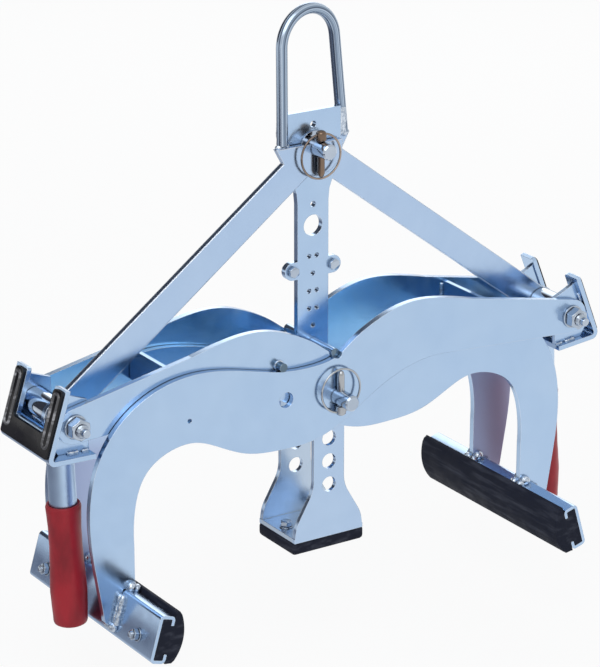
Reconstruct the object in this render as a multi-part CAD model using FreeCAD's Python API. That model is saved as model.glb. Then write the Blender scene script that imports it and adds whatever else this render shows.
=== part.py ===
import FreeCAD, Part
import math
import os

# Lifting tongs in millimetres: two crossed arms on one pivot, drawn together by two links
# that hang from a lifting eye. +X runs along the span, -Y is the front, +Z is up, and the
# open jaws stand on Z = 0. Arm B and all that it carries is arm A turned half round Z.

V = FreeCAD.Vector
ORIGIN = V(0, 0, 0)
X_AXIS = V(1, 0, 0)
Y_AXIS = V(0, 1, 0)
Z_AXIS = V(0, 0, 1)

# Clearances
cut_overrun = 6.0
pin_clearance = 0.08
bolt_clearance = 0.3
slip_gap = 0.5
seat_gap = 0.3
weld_gap = 0.1

# Main places: the pivot, the handle axles and the top pin over the pivot
pivot_height = 250.0
arm_reach = 362.0
axle_rise = 34.0
top_pin_rise = 306.0

# Arm plates, cut from flat sheet
plate_thick = 8.0
plate_gap = 1.0
arm_inner_half = 43.0
arm_end_radius = 22.0
leg_toe_height = 8.0
spare_pivot_reach = 75.0
spare_pivot_rise = 10.0
tag_hole_reach = 212.0
tag_hole_rise = 12.0
tag_hole_radius = 3.0
arm_crown_shares = ((-0.921, 0.115), (-0.957, 0.445), (-0.968, 0.670), (-0.922, 0.964), (-0.818, 1.148),
                    (-0.685, 1.248), (-0.560, 1.276), (-0.390, 1.245), (-0.221, 1.190), (-0.090, 1.182),
                    (0.000, 1.210), (0.060, 1.270), (0.140, 1.338), (0.290, 1.406), (0.440, 1.392),
                    (0.560, 1.352))
arm_belly_shares = ((0.440, 1.096), (0.285, 1.066), (0.140, 0.968), (0.000, 0.844), (-0.110, 0.792),
                    (-0.230, 0.786), (-0.360, 0.808), (-0.470, 0.876), (-0.566, 0.930), (-0.660, 0.917),
                    (-0.750, 0.836), (-0.796, 0.680), (-0.804, 0.480))

# Cross plate that ties the two plates of an arm, with a tab that passes over the other arm
tie_thick = 6.0
tie_height = 40.0
tie_tab = 8.0
tie_setback = 127.0
tie_inset = 3.0

# Stop pin of each arm, over the other arm's upper edge
stop_radius = 5.5
stop_overhang = 2.0

# Pivot pin, its washers and the tube between the foot straps
pin_radius = 10.0
pin_head_radius = 16.0
pin_head_thick = 7.0
pivot_tip = 34.0
washer_radius = 19.0
washer_thick = 2.0
spacer_radius = 15.0

# Lynch pins, upright through the pins' tips, with their rings snapped over the far end
lynch_radius = 4.5
lynch_head_radius = 6.5
lynch_head_gap = 0.6
lynch_head_height = 13.0
ring_inset = 8.4
ring_radius = 28.0
ring_wire = 1.4
ring_hole_clearance = 1.1
ring_gap = 0.8

# Foot: bent strap bracket with a row of holes, a rubber pad and its bolts
strap_thick = 6.0
strap_width = 45.0
strap_pitch = 31.0
strap_holes = 5
foot_half = 51.0
foot_base_height = 56.0
flare_top_rise = 66.0
flare_low_rise = 21.0
flare_low_inset = 2.5
flare_round = 45.0
pad_thick = 16.0
pad_lip = 1.5
pad_bolt_inset = 14.0

# Lifting bar with the eye plate at its top
bar_thick = 8.0
bar_width = 45.0
bar_low_rise = 34.0
bar_corner = 8.0
eye_half = 40.0
eye_top_rise = 44.0
eye_shoulder_drop = 18.0
eye_neck_drop = 71.0
neck_flare = ((1.4, 57.0), (6.5, 43.0))
cord_hole_rise = 27.0
cord_hole_radius = 4.2
sight_hole_drop = 74.0
sight_hole_radius = 4.0
latch_hole_drop = 101.0
latch_hole_radius = 13.5
index_shares = (0.14, 0.29, 0.44, 0.59, 0.74)
index_radius = 3.2
index_spread = 5.5
ear_height_share = 0.635
ear_step = 7.0
ear_radius = 11.3
rest_pin_radius = 5.5
rest_pin_rise = 2.2
rest_pin_half = 54.0

# Round bar bent to the lifting eye, welded to the corners of the eye plate
eye_bar_radius = 7.0
eye_seat_turn = 27.0
eye_leg_low_rise = 7.0
eye_loop_rise = 177.0
eye_bend_share = 0.905
eye_shift = 5.2

# Links and the top pin
link_thick = 8.0
link_width = 37.0
link_head_radius = 36.0
link_eye_radius = 21.0
link_open_clearance = 3.4
link_ear_reach = 59.0
link_ear_rise = 5.5
link_ear_drop = 22.0
link_ear_neck = 24.0
top_tip = 28.0

# Jaws: C rail, rubber face and bolts, in a frame tilted with the jaw
jaw_tilt = 16.5
jaw_inset = 46.0
rail_length = 300.0
rail_height = 60.0
rail_depth = 21.0
rail_wall = 4.0
rail_lip = 12.0
rubber_over = 6.0
rubber_toe_step = 11.0
rubber_bulge_step = 19.0
rubber_brow_step = 7.0
jaw_bolt_inset = 38.0
jaw_bolt_drop = 8.0

# Handle: bent yoke on the axle, side plates, facing, tube and grip
yoke_tilt = 19.7
yoke_thick = 6.0
yoke_clearance = 1.4
yoke_crest = 43.5
yoke_window = 68.0
yoke_window_low = 14.0
yoke_bend = 9.0
yoke_corner = 4.0
hang_lean = 2.2
flange_low_drop = 41.5
flange_slope = 3.7
flange_setback = 21.0
side_thick = 6.0
side_top_rise = 36.0
side_step_rise = 27.0
side_crest_drop = 8.5
side_setback = 22.0
side_clip = 17.0
facing_thick = 3.0
facing_margin = 3.0
tube_radius = 16.85
tube_wall = 3.0
grip_wall = 3.9
grip_top_height = 168.0
grip_low_height = 10.0
grip_end = 4.0
grip_clearance = 0.2
grip_rail_gap = 2.0

# Bolts: radius of the shank, across flats of the head, height of head and nut
axle_radius = 8.0
axle_flats = 24.0
axle_head = 10.0
axle_nut = 13.0
axle_tip = 13.0
axle_washer_radius = 17.0
axle_washer_thick = 3.0
sleeve_inset = 2.0
small_radius = 4.0
small_flats = 13.0
small_head = 5.3
small_nut = 6.5
small_washer_radius = 8.5
small_washer_thick = 1.6
jaw_bolt_grip = 12.0
jaw_bolt_tip = 4.5

# Heights and planes worked out from the values above
axle_height = pivot_height + axle_rise
top_pin_height = pivot_height + top_pin_rise
arm_inner_face = arm_inner_half + plate_thick
arm_outer_half = arm_inner_face + plate_gap
arm_outer_face = arm_outer_half + plate_thick
strap_outer = arm_inner_half - washer_thick
strap_inner = strap_outer - strap_thick
notch_height = arm_crown_shares[10][1] * pivot_height
stop_seat_share = arm_crown_shares[8]
pad_bolt_reach = foot_half - pad_bolt_inset
lynch_head_start = pin_radius + lynch_head_gap
ring_reach = lynch_head_start + ring_inset

bar_half = bar_thick / 2
bar_side = bar_width / 2
rest_pin_height = notch_height + rest_pin_rise
rest_seat = rest_pin_radius + slip_gap
latch_hole_height = top_pin_height - latch_hole_drop
ear_height = rest_pin_height + (latch_hole_height - rest_pin_height) * ear_height_share
ear_reach = bar_side + ear_step
eye_leg_reach = eye_half + (eye_bar_radius + weld_gap) * math.cos(math.radians(eye_seat_turn))
eye_leg_offset = bar_half + (eye_bar_radius + weld_gap) * math.sin(math.radians(eye_seat_turn))
link_inner = bar_half + washer_thick + slip_gap
link_outer = link_inner + link_thick

jaw_reach = arm_reach - jaw_inset
jaw_sin = math.sin(math.radians(jaw_tilt))
jaw_cos = math.cos(math.radians(jaw_tilt))
rubber_drop = rail_height / 2
rubber_rise = rail_height / 2 + rubber_over
rubber_toe = rail_depth + rubber_toe_step
jaw_rise = rubber_toe * jaw_sin + rubber_drop * jaw_cos
jaw_bolt_reach = rail_length / 2 - jaw_bolt_inset

sleeve_radius = arm_end_radius - sleeve_inset
yoke_width = 2 * arm_outer_face
yoke_inner = arm_end_radius + yoke_clearance
yoke_outer = yoke_inner + yoke_thick
yoke_sin = math.sin(math.radians(yoke_tilt))
yoke_cos = math.cos(math.radians(yoke_tilt))
flange_rise = math.tan(math.radians(flange_slope))
flange_low_height = axle_height - flange_low_drop
flange_top_height = flange_low_height + yoke_thick
flange_inner_reach = arm_reach - flange_setback
grip_radius = tube_radius + grip_clearance + grip_wall
lean_reach = (axle_height - grip_low_height) * math.sin(math.radians(hang_lean))
tube_reach = jaw_reach + rubber_drop * jaw_sin + grip_rail_gap + grip_radius + lean_reach


def half_turn(shape):
    """Returns a copy of the shape turned half round the upright axis."""
    copy = shape.copy()
    copy.rotate(ORIGIN, Z_AXIS, 180)
    return copy


def block(x0, x1, y0, y1, z0, z1):
    """Returns a box between two corners."""
    return Part.makeBox(x1 - x0, y1 - y0, z1 - z0, V(x0, y0, z0))


def rod(x, z, y0, y1, radius):
    """Returns a cylinder along Y between two planes."""
    return Part.makeCylinder(radius, y1 - y0, V(x, y0, z), Y_AXIS)


def tube(x, z, y0, y1, radius, bore):
    """Returns a round tube or washer along Y."""
    return rod(x, z, y0, y1, radius).cut(rod(x, z, y0 - cut_overrun, y1 + cut_overrun, bore))


def hexagon(x, z, y0, y1, flats):
    """Returns a hexagonal prism along Y."""
    corner = flats / math.sqrt(3)
    turns = [math.radians(60 * side + 30) for side in range(6)]
    points = [V(x + corner * math.cos(turn), y0, z + corner * math.sin(turn)) for turn in turns]
    return Part.Face(Part.makePolygon(points + points[:1])).extrude(V(0, y1 - y0, 0))


def sheet(points, y0, y1):
    """Returns a flat plate with straight edges through (x, z) points."""
    corners = [V(x, y0, z) for x, z in points]
    return Part.Face(Part.makePolygon(corners + corners[:1])).extrude(V(0, y1 - y0, 0))


def bore(shape, x, z, radius):
    """Returns the shape with a hole along Y right through it."""
    box = shape.BoundBox
    return shape.cut(rod(x, z, box.YMin - cut_overrun, box.YMax + cut_overrun, radius))


def tangent(x, z, cx, cz, radius, side):
    """Returns where the line from (x, z) touches a circle; side 1 is its upper side from the left."""
    reach = math.hypot(cx - x, cz - z)
    turn = math.atan2(cz - z, cx - x) + side * math.asin(radius / reach) + side * math.pi / 2
    return cx + radius * math.cos(turn), cz + radius * math.sin(turn)


def curve(points, y):
    """Returns a smooth edge through (x, z) points in the plane y."""
    spline = Part.BSplineCurve()
    spline.interpolate([V(x, y, z) for x, z in points])
    return spline.toShape()


def line(start, end, y):
    """Returns a straight edge between two (x, z) points in the plane y."""
    return Part.makeLine(V(start[0], y, start[1]), V(end[0], y, end[1]))


def arc(start, middle, end, y):
    """Returns a round edge through three (x, z) points in the plane y."""
    return Part.Arc(*[V(x, y, z) for x, z in (start, middle, end)]).toShape()


def place_jaw(shape):
    """Moves a shape from the jaw's own frame, web face at X = 0, to the left jaw."""
    shape.rotate(ORIGIN, Y_AXIS, jaw_tilt)
    shape.translate(V(-jaw_reach, 0, jaw_rise))
    return shape


def yoke_point(out, up):
    """Returns the (x, z) place of a point given from the axle, square to and along the yoke's face."""
    return (arm_reach + out * yoke_cos - up * yoke_sin, axle_height + out * yoke_sin + up * yoke_cos)


def flange_height(x, level):
    """Returns the height at x of a flange surface that has the given level under the axle."""
    return level + (x - arm_reach) * flange_rise


def flange_corner(out, level):
    """Returns how far up the yoke's face, at a distance out, a flange surface meets it."""
    drop = level - axle_height + out * (yoke_cos * flange_rise - yoke_sin)
    return drop / (yoke_cos + yoke_sin * flange_rise)


def arm_plate(y0):
    """Returns one plate of arm A, cut for the rail, pivot, axle and rest pin."""
    crown = [(arm_reach * x, pivot_height * z) for x, z in arm_crown_shares]
    belly = [(arm_reach * x, pivot_height * z) for x, z in arm_belly_shares]
    end_top = tangent(*crown[-1], arm_reach, axle_height, arm_end_radius, 1)
    end_low = tangent(*belly[0], arm_reach, axle_height, arm_end_radius, -1)
    inner_toe = (belly[-1][0], leg_toe_height)
    outer_toe = ((crown[0][0] + belly[-1][0]) / 2, leg_toe_height)
    edges = [
        curve(crown, y0),
        line(crown[-1], end_top, y0),
        arc(end_top, (arm_reach + arm_end_radius, axle_height), end_low, y0),
        line(end_low, belly[0], y0),
        curve(belly, y0),
        line(belly[-1], inner_toe, y0),
        line(inner_toe, outer_toe, y0),
        line(outer_toe, crown[0], y0),
    ]
    plate = Part.Face(Part.Wire(edges)).extrude(V(0, plate_thick, 0))
    plate = bore(plate, 0, pivot_height, pin_radius + pin_clearance)
    plate = bore(plate, -spare_pivot_reach, pivot_height + spare_pivot_rise, pin_radius + pin_clearance)
    plate = bore(plate, arm_reach, axle_height, axle_radius + pin_clearance)
    plate = bore(plate, 0, rest_pin_height, rest_seat)
    plate = plate.cut(block(-rest_seat, rest_seat, y0 - cut_overrun, y0 + plate_thick + cut_overrun,
                            rest_pin_height, rest_pin_height + pin_radius))
    room = block(0, arm_reach, -rail_length, rail_length, -pivot_height, rail_height / 2)
    return plate.cut(place_jaw(room))


def arm_tie():
    """Returns the cross plate between the two plates of arm A, its tab over arm B's upper edge."""
    start = [share * size for share, size in zip(arm_crown_shares[-1], (arm_reach, pivot_height))]
    end = tangent(*start, arm_reach, axle_height, arm_end_radius, 1)
    reach = arm_reach - tie_setback
    top = start[1] + (reach - start[0]) * (end[1] - start[1]) / (end[0] - start[0]) - tie_inset
    side = plate_gap - arm_inner_half
    tie = block(reach - tie_thick, reach, side, arm_inner_half, top - tie_height, top)
    tab = block(reach - tie_thick, reach, -arm_outer_half, side, top - tie_tab, top)
    return tie.fuse(tab).removeSplitter()


def stop_pin():
    """Returns arm A's stop pin, on its inner plate and over the upper edge of arm B's outer plate."""
    x = -stop_seat_share[0] * arm_reach
    z = stop_seat_share[1] * pivot_height + stop_radius + seat_gap
    return rod(x, z, arm_inner_face, arm_outer_face + stop_overhang, stop_radius)


def jaw_rail():
    """Returns the left jaw's C rail with the holes for its bolts."""
    half = rail_height / 2
    inner = half - rail_wall
    rail = block(0, rail_depth, -rail_length / 2, rail_length / 2, -half, half)
    rail = rail.cut(block(rail_wall, rail_depth - rail_wall, -rail_length, rail_length, -inner, inner))
    mouth = half - rail_lip
    rail = rail.cut(block(rail_wall, rail_depth + cut_overrun, -rail_length, rail_length, -mouth, mouth))
    for y in (-jaw_bolt_reach, jaw_bolt_reach):
        hole = Part.makeCylinder(small_radius + bolt_clearance, rail_wall + 2 * cut_overrun,
                                 V(-cut_overrun, y, -jaw_bolt_drop), X_AXIS)
        rail = rail.cut(hole)
    return place_jaw(rail)


def jaw_rubber():
    """Returns the left jaw's rubber: a bulged face with a foot that slides into the rail."""
    y0 = -rail_length / 2
    back = rail_depth + seat_gap
    brow = rail_depth + rubber_brow_step
    corners = ((back, -rubber_drop), (rubber_toe, -rubber_drop), (brow, rubber_rise), (back, rubber_rise))
    middle = (rail_depth + rubber_bulge_step, (rubber_rise - rubber_drop) / 2)
    edges = [line(corners[0], corners[1], y0), arc(corners[1], middle, corners[2], y0),
             line(corners[2], corners[3], y0), line(corners[3], corners[0], y0)]
    rubber = Part.Face(Part.Wire(edges)).extrude(V(0, rail_length, 0))
    neck = rail_height / 2 - rail_lip - seat_gap
    foot = rail_height / 2 - rail_wall - seat_gap
    root = rail_wall + seat_gap
    rubber = rubber.fuse(block(root, back + seat_gap, y0, -y0, -neck, neck))
    rubber = rubber.fuse(block(root, rail_depth - rail_wall - seat_gap, y0, -y0, -foot, foot))
    rubber = rubber.removeSplitter()
    for y in (-jaw_bolt_reach, jaw_bolt_reach):
        hole = Part.makeCylinder(small_radius + bolt_clearance, jaw_bolt_grip + seat_gap,
                                 V(0, y, -jaw_bolt_drop), X_AXIS)
        rubber = rubber.cut(hole)
    return place_jaw(rubber)


def jaw_bolts():
    """Returns the two bolts, with washers, that hold the rubber in the left jaw's rail."""
    bolts = []
    for y in (-jaw_bolt_reach, jaw_bolt_reach):
        nut_end = small_washer_thick + small_nut
        bolt = rod(0, 0, -jaw_bolt_grip, nut_end + jaw_bolt_tip, small_radius)
        bolt = bolt.fuse(rod(0, 0, 0, small_washer_thick, small_washer_radius))
        bolt = bolt.fuse(hexagon(0, 0, small_washer_thick, nut_end, small_flats))
        bolt.rotate(ORIGIN, Z_AXIS, 90)
        bolt.translate(V(0, y, -jaw_bolt_drop))
        bolts.append(place_jaw(bolt))
    return Part.makeCompound(bolts)


def axle_pieces(x, y_front, y_back):
    """Returns an axle bolt, and its nut with washers, through arm plates with those outer faces."""
    front = y_front - axle_washer_thick
    nut_front = front - axle_nut
    bolt = rod(x, axle_height, nut_front - axle_tip, y_back + axle_washer_thick + axle_head / 2, axle_radius)
    back = y_back + axle_washer_thick
    bolt = bolt.fuse(hexagon(x, axle_height, back, back + axle_head, axle_flats))
    hole = axle_radius + bolt_clearance
    nut = bore(hexagon(x, axle_height, nut_front, front, axle_flats), x, axle_height, hole)
    washers = [tube(x, axle_height, front, y_front, axle_washer_radius, hole),
               tube(x, axle_height, y_back, back, axle_washer_radius, hole)]
    return bolt, Part.makeCompound([nut] + washers)


def axle_sleeves():
    """Returns the two sleeves on arm A's axle, one each side of the link."""
    front = -arm_outer_half + slip_gap + side_thick + slip_gap
    back = arm_inner_half - slip_gap - side_thick - slip_gap
    hole = axle_radius + bolt_clearance
    return Part.makeCompound([
        tube(arm_reach, axle_height, front, link_inner - slip_gap, sleeve_radius, hole),
        tube(arm_reach, axle_height, link_outer + slip_gap, back, sleeve_radius, hole),
    ])


def right_link():
    """Returns the right link, behind the lifting bar, with its head on the top pin."""
    x0, z0 = 0, top_pin_height
    run_x, run_z = arm_reach, axle_height - top_pin_height
    length = math.hypot(run_x, run_z)
    side_x = -run_z / length * link_width / 2
    side_z = run_x / length * link_width / 2
    bar = sheet(((x0 + side_x, z0 + side_z), (run_x + side_x, axle_height + side_z),
                 (run_x - side_x, axle_height - side_z), (x0 - side_x, z0 - side_z)), link_inner, link_outer)
    ear = sheet(((0, z0 + link_ear_rise), (link_ear_reach, z0 + link_ear_rise),
                 (link_ear_reach - link_ear_neck / 2, z0 + link_ear_rise - link_ear_drop),
                 (link_ear_neck, z0 - link_ear_drop), (0, z0 - link_ear_drop)), link_inner, link_outer)
    link = bar.fuse([ear, rod(x0, z0, link_inner, link_outer, link_head_radius),
                     rod(run_x, axle_height, link_inner, link_outer, link_eye_radius)])
    above = block(-link_head_radius, link_ear_reach, link_inner - cut_overrun, link_outer + cut_overrun,
                  z0 + link_ear_rise, z0 + 2 * link_head_radius)
    link = link.cut(above).removeSplitter()
    link = bore(link, x0, z0, pin_radius + pin_clearance)
    return bore(link, run_x, axle_height, axle_radius + link_open_clearance)


def lifting_bar():
    """Returns the flat bar with the eye plate, ears and holes."""
    low = pivot_height + bar_low_rise
    neck = top_pin_height - eye_neck_drop
    shoulder = top_pin_height - eye_shoulder_drop
    crown = top_pin_height + eye_top_rise
    half = [(bar_side - bar_corner, low), (bar_side, low + bar_corner), (bar_side, neck)]
    half += [(bar_side + step, top_pin_height - drop) for step, drop in neck_flare]
    half += [(eye_half, shoulder), (eye_half, crown)]
    outline = half + [(-x, z) for x, z in reversed(half)]
    bar = sheet(outline, -bar_half, bar_half)
    for x in (-ear_reach, ear_reach):
        bar = bar.fuse(rod(x, ear_height, -bar_half, bar_half, ear_radius))
    bar = bar.fuse(block(-ear_reach, ear_reach, -bar_half, bar_half, ear_height - ear_radius,
                         ear_height + ear_radius)).removeSplitter()
    holes = [
        (0, top_pin_height, pin_radius + pin_clearance),
        (0, top_pin_height + cord_hole_rise, cord_hole_radius),
        (0, top_pin_height - sight_hole_drop, sight_hole_radius),
        (0, latch_hole_height, latch_hole_radius),
        (0, rest_pin_height, rest_pin_radius + pin_clearance),
    ]
    holes += [(x, ear_height, small_radius + bolt_clearance) for x in (-ear_reach, ear_reach)]
    for row, share in enumerate(index_shares):
        z = rest_pin_height + (latch_hole_height - rest_pin_height) * share
        spread = (0,) if row % 3 == 0 else (-index_spread, index_spread)
        holes += [(x, z, index_radius) for x in spread]
    for x, z, radius in holes:
        bar = bore(bar, x, z, radius)
    return bar


def lifting_eye():
    """Returns the round bar bent to a loop, its plane turned so that each leg meets a plate corner."""
    leg = math.hypot(eye_leg_reach, eye_leg_offset)
    bend = leg * eye_bend_share
    low = top_pin_height + eye_leg_low_rise
    spring = top_pin_height + eye_loop_rise - eye_bar_radius - bend
    left = tangent(-leg, low, -eye_shift, spring, bend, 1)
    crown = top_pin_height + eye_top_rise
    right = tangent(leg, crown, -eye_shift, spring, bend, -1)
    right_foot = right[0] + (leg - right[0]) * (right[1] - low) / (right[1] - crown)
    path = Part.Wire([line((-leg, low), left, 0), arc(left, (-eye_shift, spring + bend), right, 0),
                      line(right, (right_foot, low), 0)])
    section = Part.makeCircle(eye_bar_radius, V(-leg, 0, low), V(left[0] + leg, 0, left[1] - low))
    eye = path.makePipeShell([Part.Wire(section)], True, False)
    eye.rotate(ORIGIN, Z_AXIS, math.degrees(math.atan2(eye_leg_offset, eye_leg_reach)))
    return eye


def ear_bolts():
    """Returns the bolts through the bar's ears, each with its nut."""
    pieces = []
    for x in (-ear_reach, ear_reach):
        tip = bar_half + small_nut + small_washer_thick
        bolt = rod(x, ear_height, -bar_half - small_head / 2, tip, small_radius)
        bolt = bolt.fuse(hexagon(x, ear_height, -bar_half - small_head, -bar_half, small_flats))
        nut = hexagon(x, ear_height, bar_half, bar_half + small_nut, small_flats)
        pieces += [bolt, bore(nut, x, ear_height, small_radius + bolt_clearance)]
    return Part.makeCompound(pieces)


def headed_pin(z, y_head, y_tip, y_lynch):
    """Returns a pin with its head at the back, an upright hole for the lynch pin and a bevelled tip."""
    pin = rod(0, z, y_tip, y_head + pin_head_thick / 2, pin_radius)
    bevel = pin_radius / 5
    pin = pin.makeChamfer(bevel, [edge for edge in pin.Edges if edge.BoundBox.YMax < y_tip + bevel])
    pin = pin.fuse(rod(0, z, y_head, y_head + pin_head_thick, pin_head_radius))
    hole = Part.makeCylinder(lynch_radius + bolt_clearance, 2 * pin_head_radius,
                             V(0, y_lynch, z - pin_head_radius), Z_AXIS)
    return pin.cut(hole)


def lynch_pin(z, y, up):
    """Returns a lynch pin through the pin at height z; up is 1 with its head on top and -1 below."""
    end = 2 * ring_radius - ring_reach - ring_wire - ring_gap
    shaft = Part.makeCylinder(lynch_radius, end + lynch_head_start, V(0, y, -end), Z_AXIS)
    head = Part.makeCylinder(lynch_head_radius, lynch_head_height, V(0, y, lynch_head_start), Z_AXIS)
    hole = Part.makeCylinder(ring_wire + ring_hole_clearance, 2 * lynch_head_height,
                             V(-lynch_head_height, y, ring_reach), X_AXIS)
    return set_upright(shaft.fuse(head).cut(hole), z, up)


def lynch_ring(z, y, up):
    """Returns the ring of a lynch pin, hung in the head's hole and closed round the pin's tip."""
    ring = Part.makeTorus(ring_radius, ring_wire, V(0, y, ring_reach - ring_radius), Y_AXIS)
    return set_upright(ring, z, up)


def set_upright(shape, z, up):
    """Moves a shape built about Z = 0 to height z, upside down where up is -1."""
    if up < 0:
        middle = V(0, (shape.BoundBox.YMin + shape.BoundBox.YMax) / 2, 0)
        shape.rotate(middle, Y_AXIS, 180)
    shape.translate(V(0, 0, z))
    return shape


def foot_bracket():
    """Returns the foot's bent strap: two flared straps with rows of holes and the base between them."""
    side = strap_width / 2
    base_top = foot_base_height + strap_thick
    half = [(side, pivot_height), (side, foot_base_height + flare_top_rise),
            (foot_half - flare_low_inset, foot_base_height + flare_low_rise), (foot_half, foot_base_height)]
    outline = half + [(-x, z) for x, z in reversed(half)]
    bracket = block(-foot_half, foot_half, -strap_outer, strap_outer, foot_base_height, base_top)
    for y in (-strap_outer, strap_inner):
        strap = sheet(outline, y, y + strap_thick)
        bends = [edge for edge in strap.Edges if edge.BoundBox.YLength > strap_thick / 2
                 and base_top < edge.CenterOfMass.z < pivot_height - side]
        strap = strap.makeFillet(flare_round, bends)
        strap = strap.fuse(rod(0, pivot_height, y, y + strap_thick, side))
        for number in range(strap_holes):
            strap = bore(strap, 0, pivot_height - number * strap_pitch, pin_radius + pin_clearance)
        bracket = bracket.fuse(strap)
    bracket = bracket.removeSplitter()
    for x in (-pad_bolt_reach, pad_bolt_reach):
        hole = Part.makeCylinder(small_radius + bolt_clearance, strap_thick + 2 * cut_overrun,
                                 V(x, 0, foot_base_height - cut_overrun), Z_AXIS)
        bracket = bracket.cut(hole)
    return bracket


def foot_pad():
    """Returns the rubber pad under the foot, drilled for its bolts."""
    half = foot_half + pad_lip
    low = foot_base_height - pad_thick
    pad = block(-half, half, -strap_outer, strap_outer, low, foot_base_height)
    pad = pad.makeChamfer(pad_lip, [edge for edge in pad.Edges if edge.BoundBox.ZMax < low + pad_lip])
    for x in (-pad_bolt_reach, pad_bolt_reach):
        hole = Part.makeCylinder(small_radius + bolt_clearance, pad_thick / 2,
                                 V(x, 0, low + pad_thick / 2), Z_AXIS)
        pad = pad.cut(hole)
    return pad


def foot_bolts():
    """Returns the bolts that hold the pad, seen as nuts and washers on the base."""
    base_top = foot_base_height + strap_thick
    bolts = []
    for x in (-pad_bolt_reach, pad_bolt_reach):
        tip = seat_gap - strap_thick - pad_thick / 2
        bolt = rod(0, 0, tip, small_washer_thick + small_nut / 2, small_radius)
        bolt = bolt.fuse(rod(0, 0, 0, small_washer_thick, small_washer_radius))
        bolt = bolt.fuse(hexagon(0, 0, small_washer_thick, small_washer_thick + small_nut, small_flats))
        bolt.rotate(ORIGIN, X_AXIS, 90)
        bolt.translate(V(x, 0, base_top))
        bolts.append(bolt)
    return Part.makeCompound(bolts)


def yoke_plate():
    """Returns the right handle's bent plate: a tilted face with a window, and a flange under the axle."""
    outer = yoke_point(yoke_outer, flange_corner(yoke_outer, flange_low_height))
    inner = yoke_point(yoke_inner, flange_corner(yoke_inner, flange_top_height))
    outline = [(flange_inner_reach, flange_height(flange_inner_reach, flange_low_height)), outer,
               yoke_point(yoke_outer, yoke_crest), yoke_point(yoke_inner, yoke_crest), inner,
               (flange_inner_reach, flange_height(flange_inner_reach, flange_top_height))]
    plate = sheet(outline, -yoke_width / 2, yoke_width / 2)
    for corner, radius in ((outer, yoke_bend), (inner, yoke_bend - yoke_thick)):
        place = V(corner[0], 0, corner[1])
        bend = [edge for edge in plate.Edges if edge.distToShape(Part.Vertex(place))[0] < seat_gap]
        plate = plate.makeFillet(radius, bend)
    window = sheet((yoke_point(0, -yoke_window_low), yoke_point(yoke_outer + yoke_thick, -yoke_window_low),
                    yoke_point(yoke_outer + yoke_thick, yoke_crest + cut_overrun),
                    yoke_point(0, yoke_crest + cut_overrun)), -yoke_window / 2, yoke_window / 2)
    plate = plate.cut(window)
    tip = yoke_point((yoke_inner + yoke_outer) / 2, yoke_crest)
    tips = [Part.Vertex(V(tip[0], y, tip[1])) for y in (-yoke_window / 2, yoke_window / 2)]
    prongs = [edge for edge in plate.Edges if min(edge.distToShape(place)[0] for place in tips) < seat_gap]
    return plate.makeFillet(yoke_corner, prongs)


def yoke_sides():
    """Returns the right handle's two side plates, bored for the axle."""
    low = flange_corner(yoke_inner, flange_top_height)
    clip_reach = yoke_point(yoke_inner, low)[0] - side_clip
    outline = [(flange_inner_reach, flange_height(flange_inner_reach, flange_top_height)),
               (clip_reach, flange_height(clip_reach, flange_top_height)),
               yoke_point(yoke_inner, low + side_clip),
               yoke_point(yoke_inner, yoke_crest - side_crest_drop),
               (arm_reach, axle_height + side_top_rise),
               (arm_reach - side_setback, axle_height + side_step_rise)]
    front = -arm_outer_half + slip_gap
    back = arm_inner_half - slip_gap - side_thick
    hole = axle_radius + pin_clearance
    return Part.makeCompound(
        [bore(sheet(outline, y, y + side_thick), arm_reach, axle_height, hole) for y in (front, back)])


def yoke_facing():
    """Returns the thin rubber facing on the right yoke's face, open over the window."""
    reach = flange_corner(yoke_outer, flange_top_height) + facing_margin
    front = yoke_outer + facing_thick
    crest = yoke_crest - facing_margin
    side = yoke_width / 2 - facing_margin
    facing = sheet((yoke_point(yoke_outer, reach), yoke_point(front, reach), yoke_point(front, crest),
                    yoke_point(yoke_outer, crest)), -side, side)
    low = -yoke_window_low - facing_margin
    gap = yoke_window / 2 + facing_margin
    window = sheet((yoke_point(yoke_inner, low), yoke_point(front + yoke_thick, low),
                    yoke_point(front + yoke_thick, yoke_crest + cut_overrun),
                    yoke_point(yoke_inner, yoke_crest + cut_overrun)), -gap, gap)
    return facing.cut(window)


def handle_tube():
    """Returns the right handle's tube, cut to the slope of the yoke's flange above it."""
    low = grip_low_height + grip_end
    outer = Part.makeCylinder(tube_radius, axle_height - low, V(tube_reach, 0, low), Z_AXIS)
    hole = Part.makeCylinder(tube_radius - tube_wall, axle_height,
                             V(tube_reach, 0, low - cut_overrun), Z_AXIS)
    ends = (tube_reach - yoke_width, tube_reach + yoke_width)
    above = sheet((*[(x, flange_height(x, flange_low_height)) for x in ends],
                   (ends[1], 2 * axle_height), (ends[0], 2 * axle_height)), -yoke_width, yoke_width)
    return outer.cut(hole).cut(above)


def handle_grip():
    """Returns the right handle's grip sleeve, closed at its lower end."""
    grip = Part.makeCylinder(grip_radius, grip_top_height - grip_low_height,
                             V(tube_reach, 0, grip_low_height), Z_AXIS)
    hole = Part.makeCylinder(tube_radius + grip_clearance, grip_top_height,
                             V(tube_reach, 0, grip_low_height + grip_end), Z_AXIS)
    grip = grip.cut(hole)
    rims = [edge for edge in grip.Edges if edge.Curve.TypeId == "Part::GeomCircle"
            and edge.Curve.Radius > tube_radius + grip_clearance]
    return grip.makeFillet(grip_wall / 2, rims)


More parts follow.
